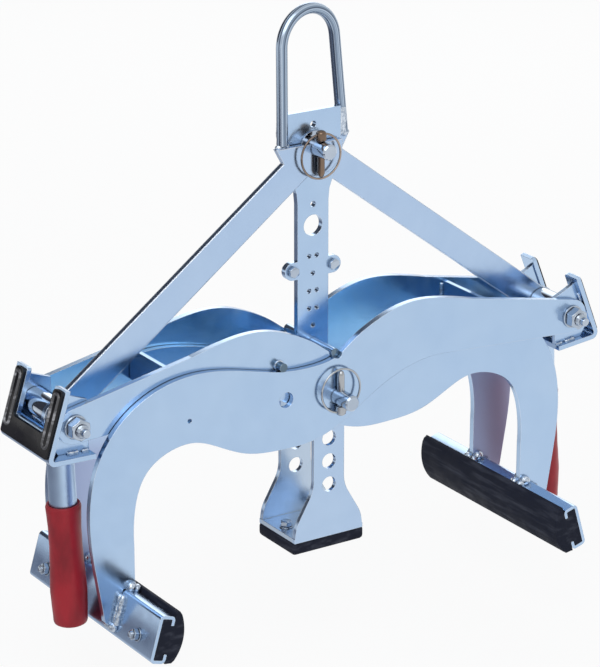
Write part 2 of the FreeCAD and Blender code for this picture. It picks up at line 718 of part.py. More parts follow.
def build():
    """Returns every node of the tongs by name."""
    nodes = {}
    arm_nodes = {
        "outer_plate": bore(arm_plate(-arm_outer_face), -tag_hole_reach, pivot_height + tag_hole_rise,
                            tag_hole_radius),
        "inner_plate": arm_plate(arm_inner_half),
        "tie_plate": arm_tie(),
        "stop_pin": stop_pin(),
        "jaw_rail": jaw_rail(),
        "jaw_rubber": jaw_rubber(),
        "jaw_bolts": jaw_bolts(),
        "axle_sleeves": axle_sleeves(),
    }
    for name, shape in arm_nodes.items():
        nodes["arm_a_" + name] = shape
        nodes["arm_b_" + name] = half_turn(shape)
    axles = {"arm_a_": axle_pieces(arm_reach, -arm_outer_face, arm_inner_face),
             "arm_b_": axle_pieces(-arm_reach, -arm_inner_face, arm_outer_face)}
    for arm, (bolt, nut) in axles.items():
        nodes[arm + "axle_bolt"] = bolt
        nodes[arm + "axle_nut"] = nut

    handle_nodes = {"handle_yoke": yoke_plate(), "handle_sides": yoke_sides(), "handle_facing": yoke_facing(),
                    "handle_tube": handle_tube(), "handle_grip": handle_grip()}
    for name, shape in handle_nodes.items():
        nodes["left_" + name] = half_turn(shape)
        nodes["left_" + name].rotate(V(-arm_reach, 0, axle_height), Y_AXIS, -hang_lean)
        nodes["right_" + name] = shape
        nodes["right_" + name].rotate(V(arm_reach, 0, axle_height), Y_AXIS, -hang_lean)
    nodes["right_link"] = right_link()
    nodes["left_link"] = half_turn(nodes["right_link"])

    hole = pin_radius + bolt_clearance
    lynch_step = slip_gap + lynch_head_radius
    pivot_lynch = -arm_outer_face - lynch_step
    pivot_back = arm_outer_face + washer_thick
    nodes["pivot_pin"] = headed_pin(pivot_height, pivot_back, -arm_outer_face - pivot_tip, pivot_lynch)
    nodes["pivot_washers"] = Part.makeCompound(
        [tube(0, pivot_height, y0, y1, washer_radius, hole) for y0, y1 in (
            (-arm_inner_half, -strap_outer), (strap_outer, arm_inner_half), (arm_outer_face, pivot_back))])
    nodes["pivot_spacer"] = tube(0, pivot_height, -strap_inner, strap_inner, spacer_radius, hole)
    nodes["pivot_lynch_pin"] = lynch_pin(pivot_height, pivot_lynch, -1)
    nodes["pivot_lynch_ring"] = lynch_ring(pivot_height, pivot_lynch, -1)

    nodes["foot_bracket"] = foot_bracket()
    nodes["foot_pad"] = foot_pad()
    nodes["foot_bolts"] = foot_bolts()

    nodes["lifting_bar"] = lifting_bar()
    nodes["lifting_eye"] = lifting_eye()
    nodes["bar_ear_bolts"] = ear_bolts()
    nodes["bar_rest_pin"] = rod(0, rest_pin_height, -rest_pin_half, rest_pin_half, rest_pin_radius)
    nodes["link_washers"] = Part.makeCompound(
        [tube(0, top_pin_height, y0, y0 + washer_thick, washer_radius, hole)
         for y0 in (-bar_half - washer_thick, bar_half)])
    top_lynch = -link_outer - lynch_step
    nodes["top_pin"] = headed_pin(top_pin_height, link_outer + slip_gap, -link_outer - top_tip, top_lynch)
    nodes["top_lynch_pin"] = lynch_pin(top_pin_height, top_lynch, 1)
    nodes["top_lynch_ring"] = lynch_ring(top_pin_height, top_lynch, 1)
    return nodes


os.makedirs("parts", exist_ok=True)
for node, solid in build().items():
    solid.exportStep("parts/" + node + ".step")
    print(node, len(solid.Solids), round(solid.Volume), solid.isValid())
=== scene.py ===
import logging
import math
from dataclasses import dataclass, replace
from enum import Enum
from typing import Callable, Optional, Sequence

import bmesh
import bpy
from mathutils import Euler, Matrix, Vector


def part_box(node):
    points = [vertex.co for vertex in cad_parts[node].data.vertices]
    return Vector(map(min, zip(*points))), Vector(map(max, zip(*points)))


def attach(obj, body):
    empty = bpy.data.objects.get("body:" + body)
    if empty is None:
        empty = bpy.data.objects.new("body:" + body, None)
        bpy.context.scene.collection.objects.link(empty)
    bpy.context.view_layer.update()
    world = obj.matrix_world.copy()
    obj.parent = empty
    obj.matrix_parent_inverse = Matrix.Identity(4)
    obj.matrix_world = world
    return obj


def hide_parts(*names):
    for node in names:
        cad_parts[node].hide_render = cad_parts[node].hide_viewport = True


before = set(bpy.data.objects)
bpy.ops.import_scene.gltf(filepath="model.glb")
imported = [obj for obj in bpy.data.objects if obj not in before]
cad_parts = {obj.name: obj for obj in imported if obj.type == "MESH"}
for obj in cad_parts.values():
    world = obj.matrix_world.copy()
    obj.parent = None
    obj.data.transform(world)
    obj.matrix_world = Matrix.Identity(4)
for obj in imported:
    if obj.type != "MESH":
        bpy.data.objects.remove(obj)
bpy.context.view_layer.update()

LOG = logging.getLogger("lifting_tongs")
Colour = tuple[float, float, float, float]
Place = tuple[float, float, float]
Ring = list[Vector]
Outline = list[tuple[float, float]]
Steps = tuple[tuple[float, float], ...]
Socket = bpy.types.NodeSocket
Material = bpy.types.Material

FULL_TURN = 2 * math.pi
UP = Vector((0, 0, 1)).freeze()
AHEAD = Vector((0, -1, 0)).freeze()
HEX_POINTS = 72
HEX_FACE_SHARE = 0.94
HEX_CHAMFER = math.radians(30)
THREAD_POINTS = 40
THREAD_DEPTH_SHARE = 0.5
THREAD_STEPS = 8
MIX_COLOURS = (6, 7)
MIX_RESULT = 2
MIDDLE_BAND = (0.35, 0.65)
WIDE_BAND = (0.3, 0.7)
SOFT_CREASE = 40
ROUND_CREASE = 50
WELD_CREASE = 80


class Side(Enum):
    """The two halves of the tongs; the value is the sign of X."""

    LEFT = -1
    RIGHT = 1


class Slot(Enum):
    """The record's material slots."""

    ZINC = "zinc_plate"
    BRIGHT = "bright_zinc"
    YELLOW = "yellow_zinc"
    RUBBER = "black_rubber"
    GRIP = "red_grip"


class Graph:
    """A node tree, with short calls to add nodes and feed them."""

    def __init__(self, tree: bpy.types.NodeTree) -> None:
        """Takes the node tree of a material or a world."""
        self.tree = tree

    def put(self, socket: Socket, value: object) -> None:
        """Links an input to an output socket, or sets it to a plain value.

        Args:
            socket: The input.
            value: An output socket, or a value.
        """
        if isinstance(value, Socket):
            self.tree.links.new(value, socket)
        else:
            socket.default_value = value

    def feed(self, node: bpy.types.Node, **settings: object) -> None:
        """Sets a node's own fields, or its inputs where it has no such field.

        Args:
            node: The node.
            **settings: Values of fields, or values or sockets of inputs with spaces as underscores.
        """
        for key, value in settings.items():
            if hasattr(node, key):
                setattr(node, key, value)
            else:
                self.put(node.inputs[key.replace("_", " ")], value)

    def node(self, kind: str, *values: object, **settings: object) -> bpy.types.Node:
        """Adds a node.

        Args:
            kind: The node's type name.
            *values: Values or sockets of its first inputs, in order.
            **settings: Its fields, or other inputs by name.

        Returns:
            The new node.
        """
        node = self.tree.nodes.new(kind)
        self.feed(node, **settings)
        for socket, value in zip(node.inputs, values):
            self.put(socket, value)
        return node

    def reckon(self, operation: str, *values: object) -> Socket:
        """Returns the result of a sum on sockets and numbers."""
        return self.node("ShaderNodeMath", *values, operation=operation).outputs[0]

    def mix(self, share: object, first: Socket, second: Socket) -> Socket:
        """Returns a mix of two shaders, with the second one's share."""
        return self.node("ShaderNodeMixShader", share, first, second).outputs[0]

    def show(self, shader: Socket, output: str = "Material Output") -> None:
        """Sends a shader to the tree's output node."""
        self.put(self.tree.nodes[output].inputs["Surface"], shader)

    def seen_rays(self) -> Socket:
        """Tells the rays that show the background from those that only light the object.

        Returns:
            A value that is 1 for camera, glossy and transmission rays.
        """
        path = self.node("ShaderNodeLightPath").outputs
        seen = self.reckon("MAXIMUM", path["Is Camera Ray"], path["Is Glossy Ray"])
        return self.reckon("MAXIMUM", seen, path["Is Transmission Ray"])


class Surface(Graph):
    """A material's node tree, with the patterns that finishes are made of."""

    def __init__(self, name: str) -> None:
        """Starts a material with its Principled shader.

        Args:
            name: The material's name.
        """
        self.material = bpy.data.materials.new(name)
        self.material.use_nodes = True
        super().__init__(self.material.node_tree)
        self.shader = self.tree.nodes["Principled BSDF"]
        self.place = self.node("ShaderNodeTexCoord").outputs["Object"]

    def finish(self, **settings: object) -> Material:
        """Feeds the Principled shader and returns the material."""
        self.feed(self.shader, **settings)
        return self.material

    def split(self, vector: Socket) -> bpy.types.NodeOutputs:
        """Returns the X, Y and Z outputs of a vector."""
        return self.node("ShaderNodeSeparateXYZ", vector).outputs

    def hollows(self, distance: float) -> Socket:
        """Returns a value that falls from 1 towards 0 in corners narrower than a distance."""
        return self.node("ShaderNodeAmbientOcclusion", samples=4, Distance=distance).outputs["AO"]

    def noise(self, scale: float, stretch: Sequence[float] = (1, 1, 1), detail: float = 3) -> Socket:
        """Returns noise in the object's metres: features per metre, factors on the axes, octaves."""
        place = self.node("ShaderNodeMapping", self.place, Scale=tuple(stretch)).outputs["Vector"]
        return self.node("ShaderNodeTexNoise", place, Scale=scale, Detail=detail).outputs["Fac"]

    def span(self, value: Socket, low: float, high: float, to_low: float = 0, to_high: float = 1) -> Socket:
        """Returns a value mapped from its range, low to high, to another."""
        return self.node("ShaderNodeMapRange", value, low, high, to_low, to_high).outputs["Result"]

    def blend(self, share: Socket, first: object, second: object) -> Socket:
        """Mixes two colours.

        Args:
            share: Socket with the second colour's share.
            first: A colour, or a colour socket.
            second: A colour, or a colour socket.

        Returns:
            The mixed colour's socket.
        """
        node = self.node("ShaderNodeMix", share, data_type="RGBA")
        for index, colour in zip(MIX_COLOURS, (first, second)):
            self.put(node.inputs[index], colour)
        return node.outputs[MIX_RESULT]

    def bump(self, height: Socket, strength: float, depth: float, normal: Optional[Socket] = None) -> Socket:
        """Adds a bump over an earlier normal.

        Args:
            height: The height's socket.
            strength: Share of the effect.
            depth: Depth in metres.
            normal: The normal under it, if any.

        Returns:
            The new normal's socket.
        """
        node = self.node("ShaderNodeBump", Strength=strength, Distance=depth, Height=height)
        if normal is not None:
            self.put(node.inputs["Normal"], normal)
        return node.outputs["Normal"]

    def edges(self, radius: float) -> tuple[Socket, Socket]:
        """Rounds the shading of sharp edges.

        Args:
            radius: Radius of the rounding in metres.

        Returns:
            The rounded normal, and a value that rises to 1 on the edges.
        """
        bevel = self.node("ShaderNodeBevel", samples=4, Radius=radius).outputs["Normal"]
        flat = self.node("ShaderNodeNewGeometry").outputs["Normal"]
        dot = self.node("ShaderNodeVectorMath", bevel, flat, operation="DOT_PRODUCT")
        return bevel, self.span(dot.outputs["Value"], 0.99, 0.80)


@dataclass(frozen=True)
class ZincFinish:
    """Zinc plating over sheet or bar, mirror bright with faint waviness and a painted highlight along the
    edges.

    Scales are features per metre. A core is a stretch about the middle plane with a tone of its own, given
    by its half width along Y and its colour. The inside tones are painted light: lighter tones on the plates'
    inner faces, below and above the height where the legs begin, standing in for light bounced between
    plates.
    """

    name: str
    pale: Colour
    deep: Colour
    edge_highlight: Colour
    rough: tuple[float, float] = (0.17, 0.25)
    wave: float = 0.03
    edge: float = 0.0009
    crevice_shade_tone: Colour = (0.020, 0.035, 0.065, 1)
    crevice_shade_share: float = 0.45
    crevice_shade_reach: float = 0.004
    inside: Optional[Colour] = None
    inside_leg: Colour = (0.47, 0.56, 0.80, 1)
    leg_rough: float = 0.46
    leg_top: tuple[float, float] = (0.20, 0.27)
    inner_side: tuple[float, float] = (-0.020, -0.035)
    core: Optional[tuple[float, Colour]] = None
    core_fade: float = 0.001
    patch_scale: float = 14
    cloud_scale: float = 55
    wave_scale: float = 22
    wave_depth: float = 0.002
    brush_scale: float = 900
    brush_stretch: Place = (1, 0.05, 1)
    brush: float = 0.02
    brush_depth: float = 0.0004

    def inner_faces(self, graph: Surface) -> tuple[Socket, Socket]:
        """Finds the faces that look at the middle plane.

        Args:
            graph: The material's graph.

        Returns:
            A value that is 1 on those faces, and one that is 1 above the legs.
        """
        facing = graph.split(graph.node("ShaderNodeNewGeometry").outputs["Normal"])
        place = graph.split(graph.place)
        inward = graph.reckon("MULTIPLY", facing["Y"], place["Y"])
        return graph.span(inward, *self.inner_side), graph.span(place["Z"], *self.leg_top)

    def material(self) -> Material:
        """Makes the plating.

        Returns:
            Its material.
        """
        graph = Surface(self.name)
        normal, edge = graph.edges(self.edge)
        patches = graph.span(graph.noise(self.patch_scale, detail=4), *MIDDLE_BAND)
        colour = graph.blend(patches, self.pale, self.deep)
        rough = graph.span(graph.noise(self.cloud_scale, detail=5), *WIDE_BAND, *self.rough)
        # Painted light: faces turned to the middle plane get lighter, bluer tones, with another tone on the
        # legs below the leg top.
        if self.inside:
            inner, above = self.inner_faces(graph)
            colour = graph.blend(inner, colour, graph.blend(above, self.inside_leg, self.inside))
            leg = graph.reckon("SUBTRACT", inner, above)
            rough = graph.reckon("MAXIMUM", graph.span(leg, 0, 1, 0, self.leg_rough), rough)
        if self.core:
            half, tone = self.core
            away = graph.reckon("ABSOLUTE", graph.split(graph.place)["Y"])
            colour = graph.blend(graph.span(away, half, half + self.core_fade, 1, 0), colour, tone)
        # Painted highlight: edges are lightened towards the highlight colour over the rounding radius.
        colour = graph.blend(edge, colour, self.edge_highlight)
        # Painted shade: the colour darkens towards the shade tone in corners and gaps narrower than the
        # reach.
        painted_crevice_shade = graph.span(graph.hollows(self.crevice_shade_reach), 0.80, 0.35, 0, self.crevice_shade_share)
        normal = graph.bump(graph.noise(self.wave_scale, detail=2), self.wave, self.wave_depth, normal)
        brushed = graph.noise(self.brush_scale, self.brush_stretch, 2)
        return graph.finish(Metallic=1, Base_Color=graph.blend(painted_crevice_shade, colour, self.crevice_shade_tone), Roughness=rough,
                            Normal=graph.bump(brushed, self.brush, self.brush_depth, normal))


@dataclass(frozen=True)
class DrawnFinish:
    """Plated drawn bar, with painted reflection stripes, light and dark, along its length, read from the
    mesh's own "around" vectors.
    """

    name: str
    pale: Colour
    mid: Colour
    deep: Colour
    rough: tuple[float, float] = (0.10, 0.24)
    crevice_shade_reach: float = 0.006
    crevice_shade_share: float = 0.8
    reflection_stripes: float = 3.4
    wave_scale: float = 60
    wave: float = 0.05
    wave_depth: float = 0.001

    def material(self) -> Material:
        """Makes the drawn skin.

        Returns:
            Its material.
        """
        graph = Surface(self.name)
        around = graph.node("ShaderNodeAttribute", attribute_name="around").outputs["Vector"]
        # Painted reflection: light and dark stripes along the bar at set angles round it.
        reflection_stripes = graph.node("ShaderNodeTexNoise", around, Scale=self.reflection_stripes, Detail=3).outputs["Fac"]
        colour = graph.blend(graph.span(reflection_stripes, 0.40, 0.50), self.deep, self.mid)
        colour = graph.blend(graph.span(reflection_stripes, 0.54, 0.62), colour, self.pale)
        # Painted shade: the colour darkens towards the deep tone in corners narrower than the reach.
        painted_crevice_shade = graph.span(graph.hollows(self.crevice_shade_reach), 0.85, 0.35, 0, self.crevice_shade_share)
        normal = graph.bump(graph.noise(self.wave_scale), self.wave, self.wave_depth)
        return graph.finish(Metallic=1, Base_Color=graph.blend(painted_crevice_shade, colour, self.deep), Normal=normal,
                            Roughness=graph.span(reflection_stripes, *MIDDLE_BAND, *self.rough))


@dataclass(frozen=True)
class WeldFinish:
    """Plated weld metal, lumpy and bright."""

    name: str
    pale: Colour
    deep: Colour
    rough: tuple[float, float] = (0.12, 0.4)
    lump_scale: float = 320
    lumpy: float = 0.35
    lump_depth: float = 0.0010

    def material(self) -> Material:
        """Makes the weld metal.

        Returns:
            Its material.
        """
        graph = Surface(self.name)
        lumps = graph.noise(self.lump_scale, detail=4)
        colour = graph.blend(graph.span(lumps, *MIDDLE_BAND), self.pale, self.deep)
        rough = graph.span(lumps, *WIDE_BAND, *self.rough)
        normal = graph.bump(lumps, self.lumpy, self.lump_depth)
        return graph.finish(Metallic=1, Base_Color=colour, Roughness=rough, Normal=normal)


@dataclass(frozen=True)
class RubberFinish:
    """Moulded black rubber with grey worn marks and a fine grain; the pale marks on the facing's ridges are
    painted glints.
    """

    name: str
    base: Colour
    scuff_and_glint_tone: Colour
    rough: tuple[float, float]
    scuff_and_glint_share: float
    gloss: float
    scuff_and_glint_scale: float = 60
    scuff_and_glint_stretch: Place = (1, 0.25, 2.2)
    scuff_bump: float = 0.15
    scuff_depth: float = 0.0008
    cloud_scale: float = 45
    grain_scale: float = 1500
    grain: float = 0.12
    grain_depth: float = 0.0003

    def material(self) -> Material:
        """Makes the rubber.

        Returns:
            Its material.
        """
        graph = Surface(self.name)
        scuff_and_glint_marks = graph.noise(self.scuff_and_glint_scale, self.scuff_and_glint_stretch, 8)
        # Grey marks: real wear on the jaws and pad, painted glints on the facing's ridges.
        colour = graph.blend(graph.span(scuff_and_glint_marks, 0.52, 0.78, 0, self.scuff_and_glint_share), self.base, self.scuff_and_glint_tone)
        rough = graph.span(graph.noise(self.cloud_scale, detail=5), *WIDE_BAND, *self.rough)
        grain = graph.bump(graph.noise(self.grain_scale), self.grain, self.grain_depth)
        normal = graph.bump(scuff_and_glint_marks, self.scuff_bump, self.scuff_depth, grain)
        return graph.finish(Specular_IOR_Level=self.gloss, Base_Color=colour, Roughness=rough, Normal=normal)


@dataclass(frozen=True)
class GripFinish:
    """Dipped red plastic with a soft pebbled skin and darker worn patches."""

    name: str
    base: Colour
    dark: Colour
    gloss: float
    rough: tuple[float, float] = (0.3, 0.48)
    wear_scale: float = 38
    wear_stretch: Place = (1, 1, 0.5)
    pebble_scale: float = 700
    pebbled: float = 0.12
    pebble_depth: float = 0.0006
    sag_scale: float = 60
    sag_stretch: Place = (1, 1, 0.3)
    sag: float = 0.1
    sag_depth: float = 0.002

    def material(self) -> Material:
        """Makes the plastic.

        Returns:
            Its material.
        """
        graph = Surface(self.name)
        wear = graph.noise(self.wear_scale, self.wear_stretch, 5)
        colour = graph.blend(graph.span(wear, 0.4, 0.7), self.base, self.dark)
        rough = graph.span(wear, *WIDE_BAND, *self.rough)
        pebbles = graph.bump(graph.noise(self.pebble_scale, detail=2), self.pebbled, self.pebble_depth)
        normal = graph.bump(graph.noise(self.sag_scale, self.sag_stretch), self.sag, self.sag_depth, pebbles)
        return graph.finish(Specular_IOR_Level=self.gloss, Base_Color=colour, Roughness=rough, Normal=normal)


class Finishes:
    """Every finish of the tongs, made once."""

    def __init__(self) -> None:
        """Makes the materials."""
        plate = ZincFinish("zinc_plate_satin", (0.456, 0.606, 0.812, 1), (0.432, 0.584, 0.798, 1),
                           (0.80, 0.87, 0.95, 1))
        dark = ZincFinish("zinc_dark", (0.17, 0.24, 0.31, 1), (0.10, 0.15, 0.20, 1), (0.50, 0.60, 0.70, 1),
                          (0.10, 0.22), 0.04, 0.0006)
        self.plate = plate.material()
        # Painted light: lighter tones on the arm plates' inner faces.
        self.arm = replace(plate, name="zinc_arm_plate", inside=(0.50, 0.75, 0.96, 1)).material()
        self.bar = DrawnFinish("zinc_round_bar", (0.52, 0.62, 0.75, 1), (0.26, 0.34, 0.45, 1),
                               (0.11, 0.14, 0.20, 1)).material()
        self.tube = ZincFinish("zinc_tube", (0.53, 0.69, 0.89, 1), (0.49, 0.65, 0.86, 1),
                               (0.74, 0.82, 0.91, 1), (0.30, 0.42)).material()
        # Small bright parts take the full painted shade in their corners.
        self.bright = ZincFinish("zinc_bright", (0.52, 0.59, 0.68, 1), (0.40, 0.47, 0.57, 1),
                                 (0.82, 0.86, 0.92, 1), (0.05, 0.12), edge=0.0006, crevice_shade_share=1.0).material()
        self.yellow = ZincFinish("zinc_yellow", (0.27, 0.195, 0.145, 1), (0.11, 0.075, 0.055, 1),
                                 (0.62, 0.55, 0.49, 1), (0.06, 0.16), 0.04, 0.0004).material()
        self.wire = ZincFinish("zinc_yellow_wire", (0.46, 0.385, 0.335, 1), (0.16, 0.12, 0.10, 1),
                               (0.80, 0.75, 0.70, 1), (0.05, 0.12), 0.04, 0.0004).material()
        self.dark = dark.material()
        self.tie = ZincFinish("zinc_tie_plate", (0.27, 0.41, 0.60, 1), (0.24, 0.38, 0.57, 1),
                              (0.40, 0.55, 0.74, 1)).material()
        # The wider rounding radius spreads the painted highlight about 2.6 mm onto the links' faces.
        self.link = ZincFinish("zinc_link", (0.466, 0.606, 0.812, 1), (0.442, 0.584, 0.798, 1),
                               (0.84, 0.89, 0.96, 1), edge=0.0026).material()
        self.rest = replace(dark, name="zinc_rest_pin", edge_highlight=(0.42, 0.56, 0.74, 1), rough=plate.rough,
                            wave=plate.wave, core=(0.0525, (0.44, 0.59, 0.80, 1))).material()
        self.foot = ZincFinish("zinc_foot", (0.466, 0.606, 0.806, 1), (0.442, 0.584, 0.792, 1),
                               (0.80, 0.87, 0.95, 1), core=(0.0355, (0.505, 0.61, 0.745, 1))).material()
        self.steel = ZincFinish("zinc_grey", (0.50, 0.52, 0.54, 1), (0.38, 0.40, 0.43, 1),
                                (0.74, 0.76, 0.79, 1), (0.06, 0.16), 0.04, 0.0004).material()
        self.weld = WeldFinish("weld_metal", (0.74, 0.81, 0.90, 1), (0.34, 0.42, 0.53, 1)).material()
        # The faint blue in the black rubber's tones is a painted sheen.
        self.rubber = RubberFinish("rubber_black", (0.019, 0.022, 0.036, 1), (0.085, 0.092, 0.120, 1),
                                   (0.55, 0.8), 0.7, 0.08).material()
        self.facing = RubberFinish("rubber_facing", (0.004, 0.004, 0.006, 1), (0.020, 0.018, 0.022, 1),
                                   (0.2, 0.4), 0.5, 0.3).material()
        # The ridges' pale marks are painted glints.
        self.ridge = RubberFinish("rubber_ridge", (0.060, 0.060, 0.068, 1), (0.62, 0.62, 0.66, 1),
                                  (0.10, 0.25), 1.0, 0.8).material()
        self.grip = GripFinish("plastic_red", (0.430, 0.022, 0.034, 1), (0.265, 0.017, 0.026, 1),
                               0.3).material()


def placed(name: str, data: bpy.types.ID) -> bpy.types.Object:
    """Adds an object to the scene.

    Args:
        name: The object's name.
        data: Its mesh, lamp or camera.

    Returns:
        The object.
    """
    item = bpy.data.objects.new(name, data)
    bpy.context.scene.collection.objects.link(item)
    return item


class Shape:
    """A mesh under construction from lofted rings."""

    def __init__(self) -> None:
        """Starts an empty mesh."""
        self.mesh = bmesh.new()

    def loft(self, rings: Sequence[Ring], looped: bool = False) -> "Shape":
        """Joins rings of points into a skin.

        Args:
            rings: Rings with equal counts of points.
            looped: Whether the last ring meets the first; otherwise both are closed.

        Returns:
            This shape.
        """
        rows = [[self.mesh.verts.new(point) for point in ring] for ring in rings]
        count = len(rows[0])
        pairs = list(zip(rows, rows[1:])) + ([(rows[-1], rows[0])] if looped else [])
        for first, second in pairs:
            for i in range(count):
                j = (i + 1) % count
                self.mesh.faces.new((first[i], first[j], second[j], second[i]))
        if not looped:
            self.mesh.faces.new(list(reversed(rows[0])))
            self.mesh.faces.new(rows[-1])
        return self

    def piece(self, name: str, body: str, slot: Slot, material: Material, *stands_for: str,
              crease: float = 35) -> bpy.types.Object:
        """Turns the mesh into a piece that rides on a body.

        Args:
            name: The piece's name.
            body: The CAD body it moves with.
            slot: The record's slot of its finish; not used.
            material: Its material.
            *stands_for: CAD nodes that it replaces.
            crease: Angle in degrees above which an edge stays sharp.

        Returns:
            The piece.
        """
        bmesh.ops.recalc_face_normals(self.mesh, faces=self.mesh.faces)
        data = bpy.data.meshes.new(name)
        self.mesh.to_mesh(data)
        self.mesh.free()
        data.polygons.foreach_set("use_smooth", [True] * len(data.polygons))
        data.set_sharp_from_angle(angle=math.radians(crease))
        data.materials.append(material)
        piece = placed(name, data)
        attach(piece, body)
        if stands_for:
            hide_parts(*stands_for)
        LOG.info("%s rides on %s", name, body)
        return piece


def axes(direction: Vector) -> tuple[Vector, Vector]:
    """Finds two unit vectors square to a direction and to each other.

    Args:
        direction: A unit vector.

    Returns:
        The two vectors.
    """
    helper = UP if abs(direction.z) < 0.9 else Vector((1, 0, 0))
    first = direction.cross(helper).normalized()
    return first, direction.cross(first).normalized()


def turns(count: int, closed: bool = False) -> list[float]:
    """Returns the angles of a full turn in equal steps, with the last one too if closed."""
    return [FULL_TURN * i / count for i in range(count + closed)]


def spoke(first: Vector, second: Vector, turn: float, size: float) -> Vector:
    """Returns a vector of a size, at an angle from the first axis towards the second."""
    return (first * math.cos(turn) + second * math.sin(turn)) * size


def turned(origin: Vector, axis: Vector, profile: Outline, count: int = 48,
           reach: Optional[Callable[[float, float, float], float]] = None) -> list[Ring]:
    """Makes the rings of a turned form.

    Args:
        origin: Foot of the axis.
        axis: Unit vector along it.
        profile: (height, radius) pairs.
        count: Points in each ring.
        reach: Changes a radius, from (angle, height, radius).

    Returns:
        The rings.
    """
    first, second = axes(axis)
    rings = []
    for height, radius in profile:
        ring = []
        for turn in turns(count):
            size = reach(turn, height, radius) if reach else radius
            ring.append(origin + axis * height + spoke(first, second, turn, size))
        rings.append(ring)
    return rings


def washer(seat: Vector, out: Vector, rim: float, thick: float, bore: float, bevel: float,
           count: int) -> list[Ring]:
    """Returns the rings of a washer with a bevelled rim, from its seat outwards."""
    profile = [(0, rim), (thick - bevel * 0.75, rim), (thick, rim - bevel), (thick, bore)]
    return turned(seat, out, profile, count)


def hexed(origin: Vector, axis: Vector, flats: float, height: float, both: bool = True) -> list[Ring]:
    """Makes the rings of a bolt head or nut with turned chamfers.

    Args:
        origin: Middle of its seat.
        axis: Unit vector away from the seat.
        flats: Distance across the flats.
        height: Its height.
        both: Whether the seat side is chamfered as well.

    Returns:
        The rings.
    """
    half = flats / 2
    corner = half / math.cos(math.pi / 6)
    face = half * HEX_FACE_SHARE
    rise = (corner - face) * math.tan(HEX_CHAMFER)
    cone = [(rise * share, face + (corner - face) * share) for share in (0, 0.25, 0.5, 0.75, 1)]
    profile = (cone if both else [(0, corner)]) + [(height - low, radius) for low, radius in reversed(cone)]

    def side(turn: float, _height: float, radius: float) -> float:
        """Returns the smaller of the cone and the hexagon at an angle."""
        inside = (turn + math.pi / 6) % (math.pi / 3) - math.pi / 6
        return min(radius, half / math.cos(inside))

    return turned(origin, axis, profile, HEX_POINTS, side)


def threaded(origin: Vector, axis: Vector, radius: float, length: float, pitch: float) -> list[Ring]:
    """Makes the rings of a threaded rod with a bevelled end.

    Args:
        origin: Foot of the thread.
        axis: Unit vector towards its end.
        radius: Outer radius.
        length: Its length.
        pitch: Rise of one turn.

    Returns:
        The rings.
    """
    depth = pitch * THREAD_DEPTH_SHARE
    count = max(int(length / pitch * THREAD_STEPS), 2 * THREAD_STEPS)
    heights = [length * i / count for i in range(count + 1)]
    profile = [(height, min(radius, radius - depth + (length - height))) for height in heights]

    def thread(turn: float, height: float, size: float) -> float:
        """Returns the radius of a helical ridge."""
        phase = (height / pitch + turn / FULL_TURN) % 1
        return size - depth * abs(2 * phase - 1)

    return turned(origin, axis, profile, THREAD_POINTS, thread)


@dataclass(frozen=True)
class Wobble:
    """An uneven swing along a weld: its size, its rate per metre, and how far a seed shifts it."""

    size: float
    rate: float
    shift: float = 1

    def at(self, travelled: float, seed: float) -> float:
        """Returns the swing at a distance along the weld."""
        return self.size * math.sin(seed * self.shift + travelled * self.rate)


@dataclass(frozen=True)
class WeldForm:
    """How a weld's beads and blobs swell, ripple and wander."""

    sides: int = 12
    ripple: float = 0.025
    step: Wobble = Wobble(0.2, 400)
    slow: Wobble = Wobble(0.08, 230, 3.1)
    quick: Wobble = Wobble(0.04, 610, 7.7)
    skin: Wobble = Wobble(0.05, 500)
    lump: Wobble = Wobble(0.09, 0)
    grain: Wobble = Wobble(0.07, 900)
    blob_sides: int = 20
    blob_rings: int = 12

    def bead(self, path: Sequence[Vector], radius: float, seed: float = 0,
             pitch: float = 0.0035) -> list[Ring]:
        """Makes the rings of a weld bead along a path.

        Args:
            path: Points of the path.
            radius: The bead's radius.
            seed: Start of its uneven ripple.
            pitch: Length of one ripple.

        Returns:
            The rings.
        """
        points = []
        for start, end in zip(path, path[1:]):
            steps = max(int((end - start).length / (pitch / 4)), 2)
            points += [start.lerp(end, i / steps) for i in range(steps)]
        points.append(path[-1])
        total = sum((b - a).length for a, b in zip(points, points[1:]))
        travelled = 0.0
        rings = []
        for i, point in enumerate(points):
            ahead = points[min(i + 1, len(points) - 1)] - points[max(i - 1, 0)]
            first, second = axes(ahead.normalized())
            if i:
                travelled += (point - points[i - 1]).length
            end_share = min(travelled, total - travelled) / radius
            close = math.sqrt(max(1 - (1 - min(end_share, 1)) ** 2, 0.01))
            phase = travelled / pitch + self.step.at(travelled, seed)
            ripple = 1 - self.ripple + self.ripple * math.cos(FULL_TURN * phase)
            drift = 1 + self.slow.at(travelled, seed) + self.quick.at(travelled, seed)
            width = radius * close * ripple * drift
            ring = []
            for turn in turns(self.sides):
                size = width * (1 + self.skin.at(travelled, 3 * turn + seed))
                ring.append(point + spoke(first, second, turn, size))
            rings.append(ring)
        return rings

    def blob(self, middle: Vector, radius: float, seed: float) -> list[Ring]:
        """Makes the rings of a lump of weld metal.

        Args:
            middle: Its middle.
            radius: Its mean radius.
            seed: Start of its uneven skin.

        Returns:
            The rings.
        """

        def skin(turn: float, height: float, size: float) -> float:
            """Returns an uneven radius."""
            lumps = self.lump.at(height, 3 * turn + seed) + self.grain.at(height, 5 * turn + seed * 2)
            return size * (1 + lumps)

        slopes = [math.pi * (i / self.blob_rings - 0.5) for i in range(self.blob_rings + 1)]
        profile = [(radius * math.sin(slope), radius * max(math.cos(slope), 0.02)) for slope in slopes]
        return turned(middle, UP, profile, self.blob_sides, skin)


WELD = WeldForm()


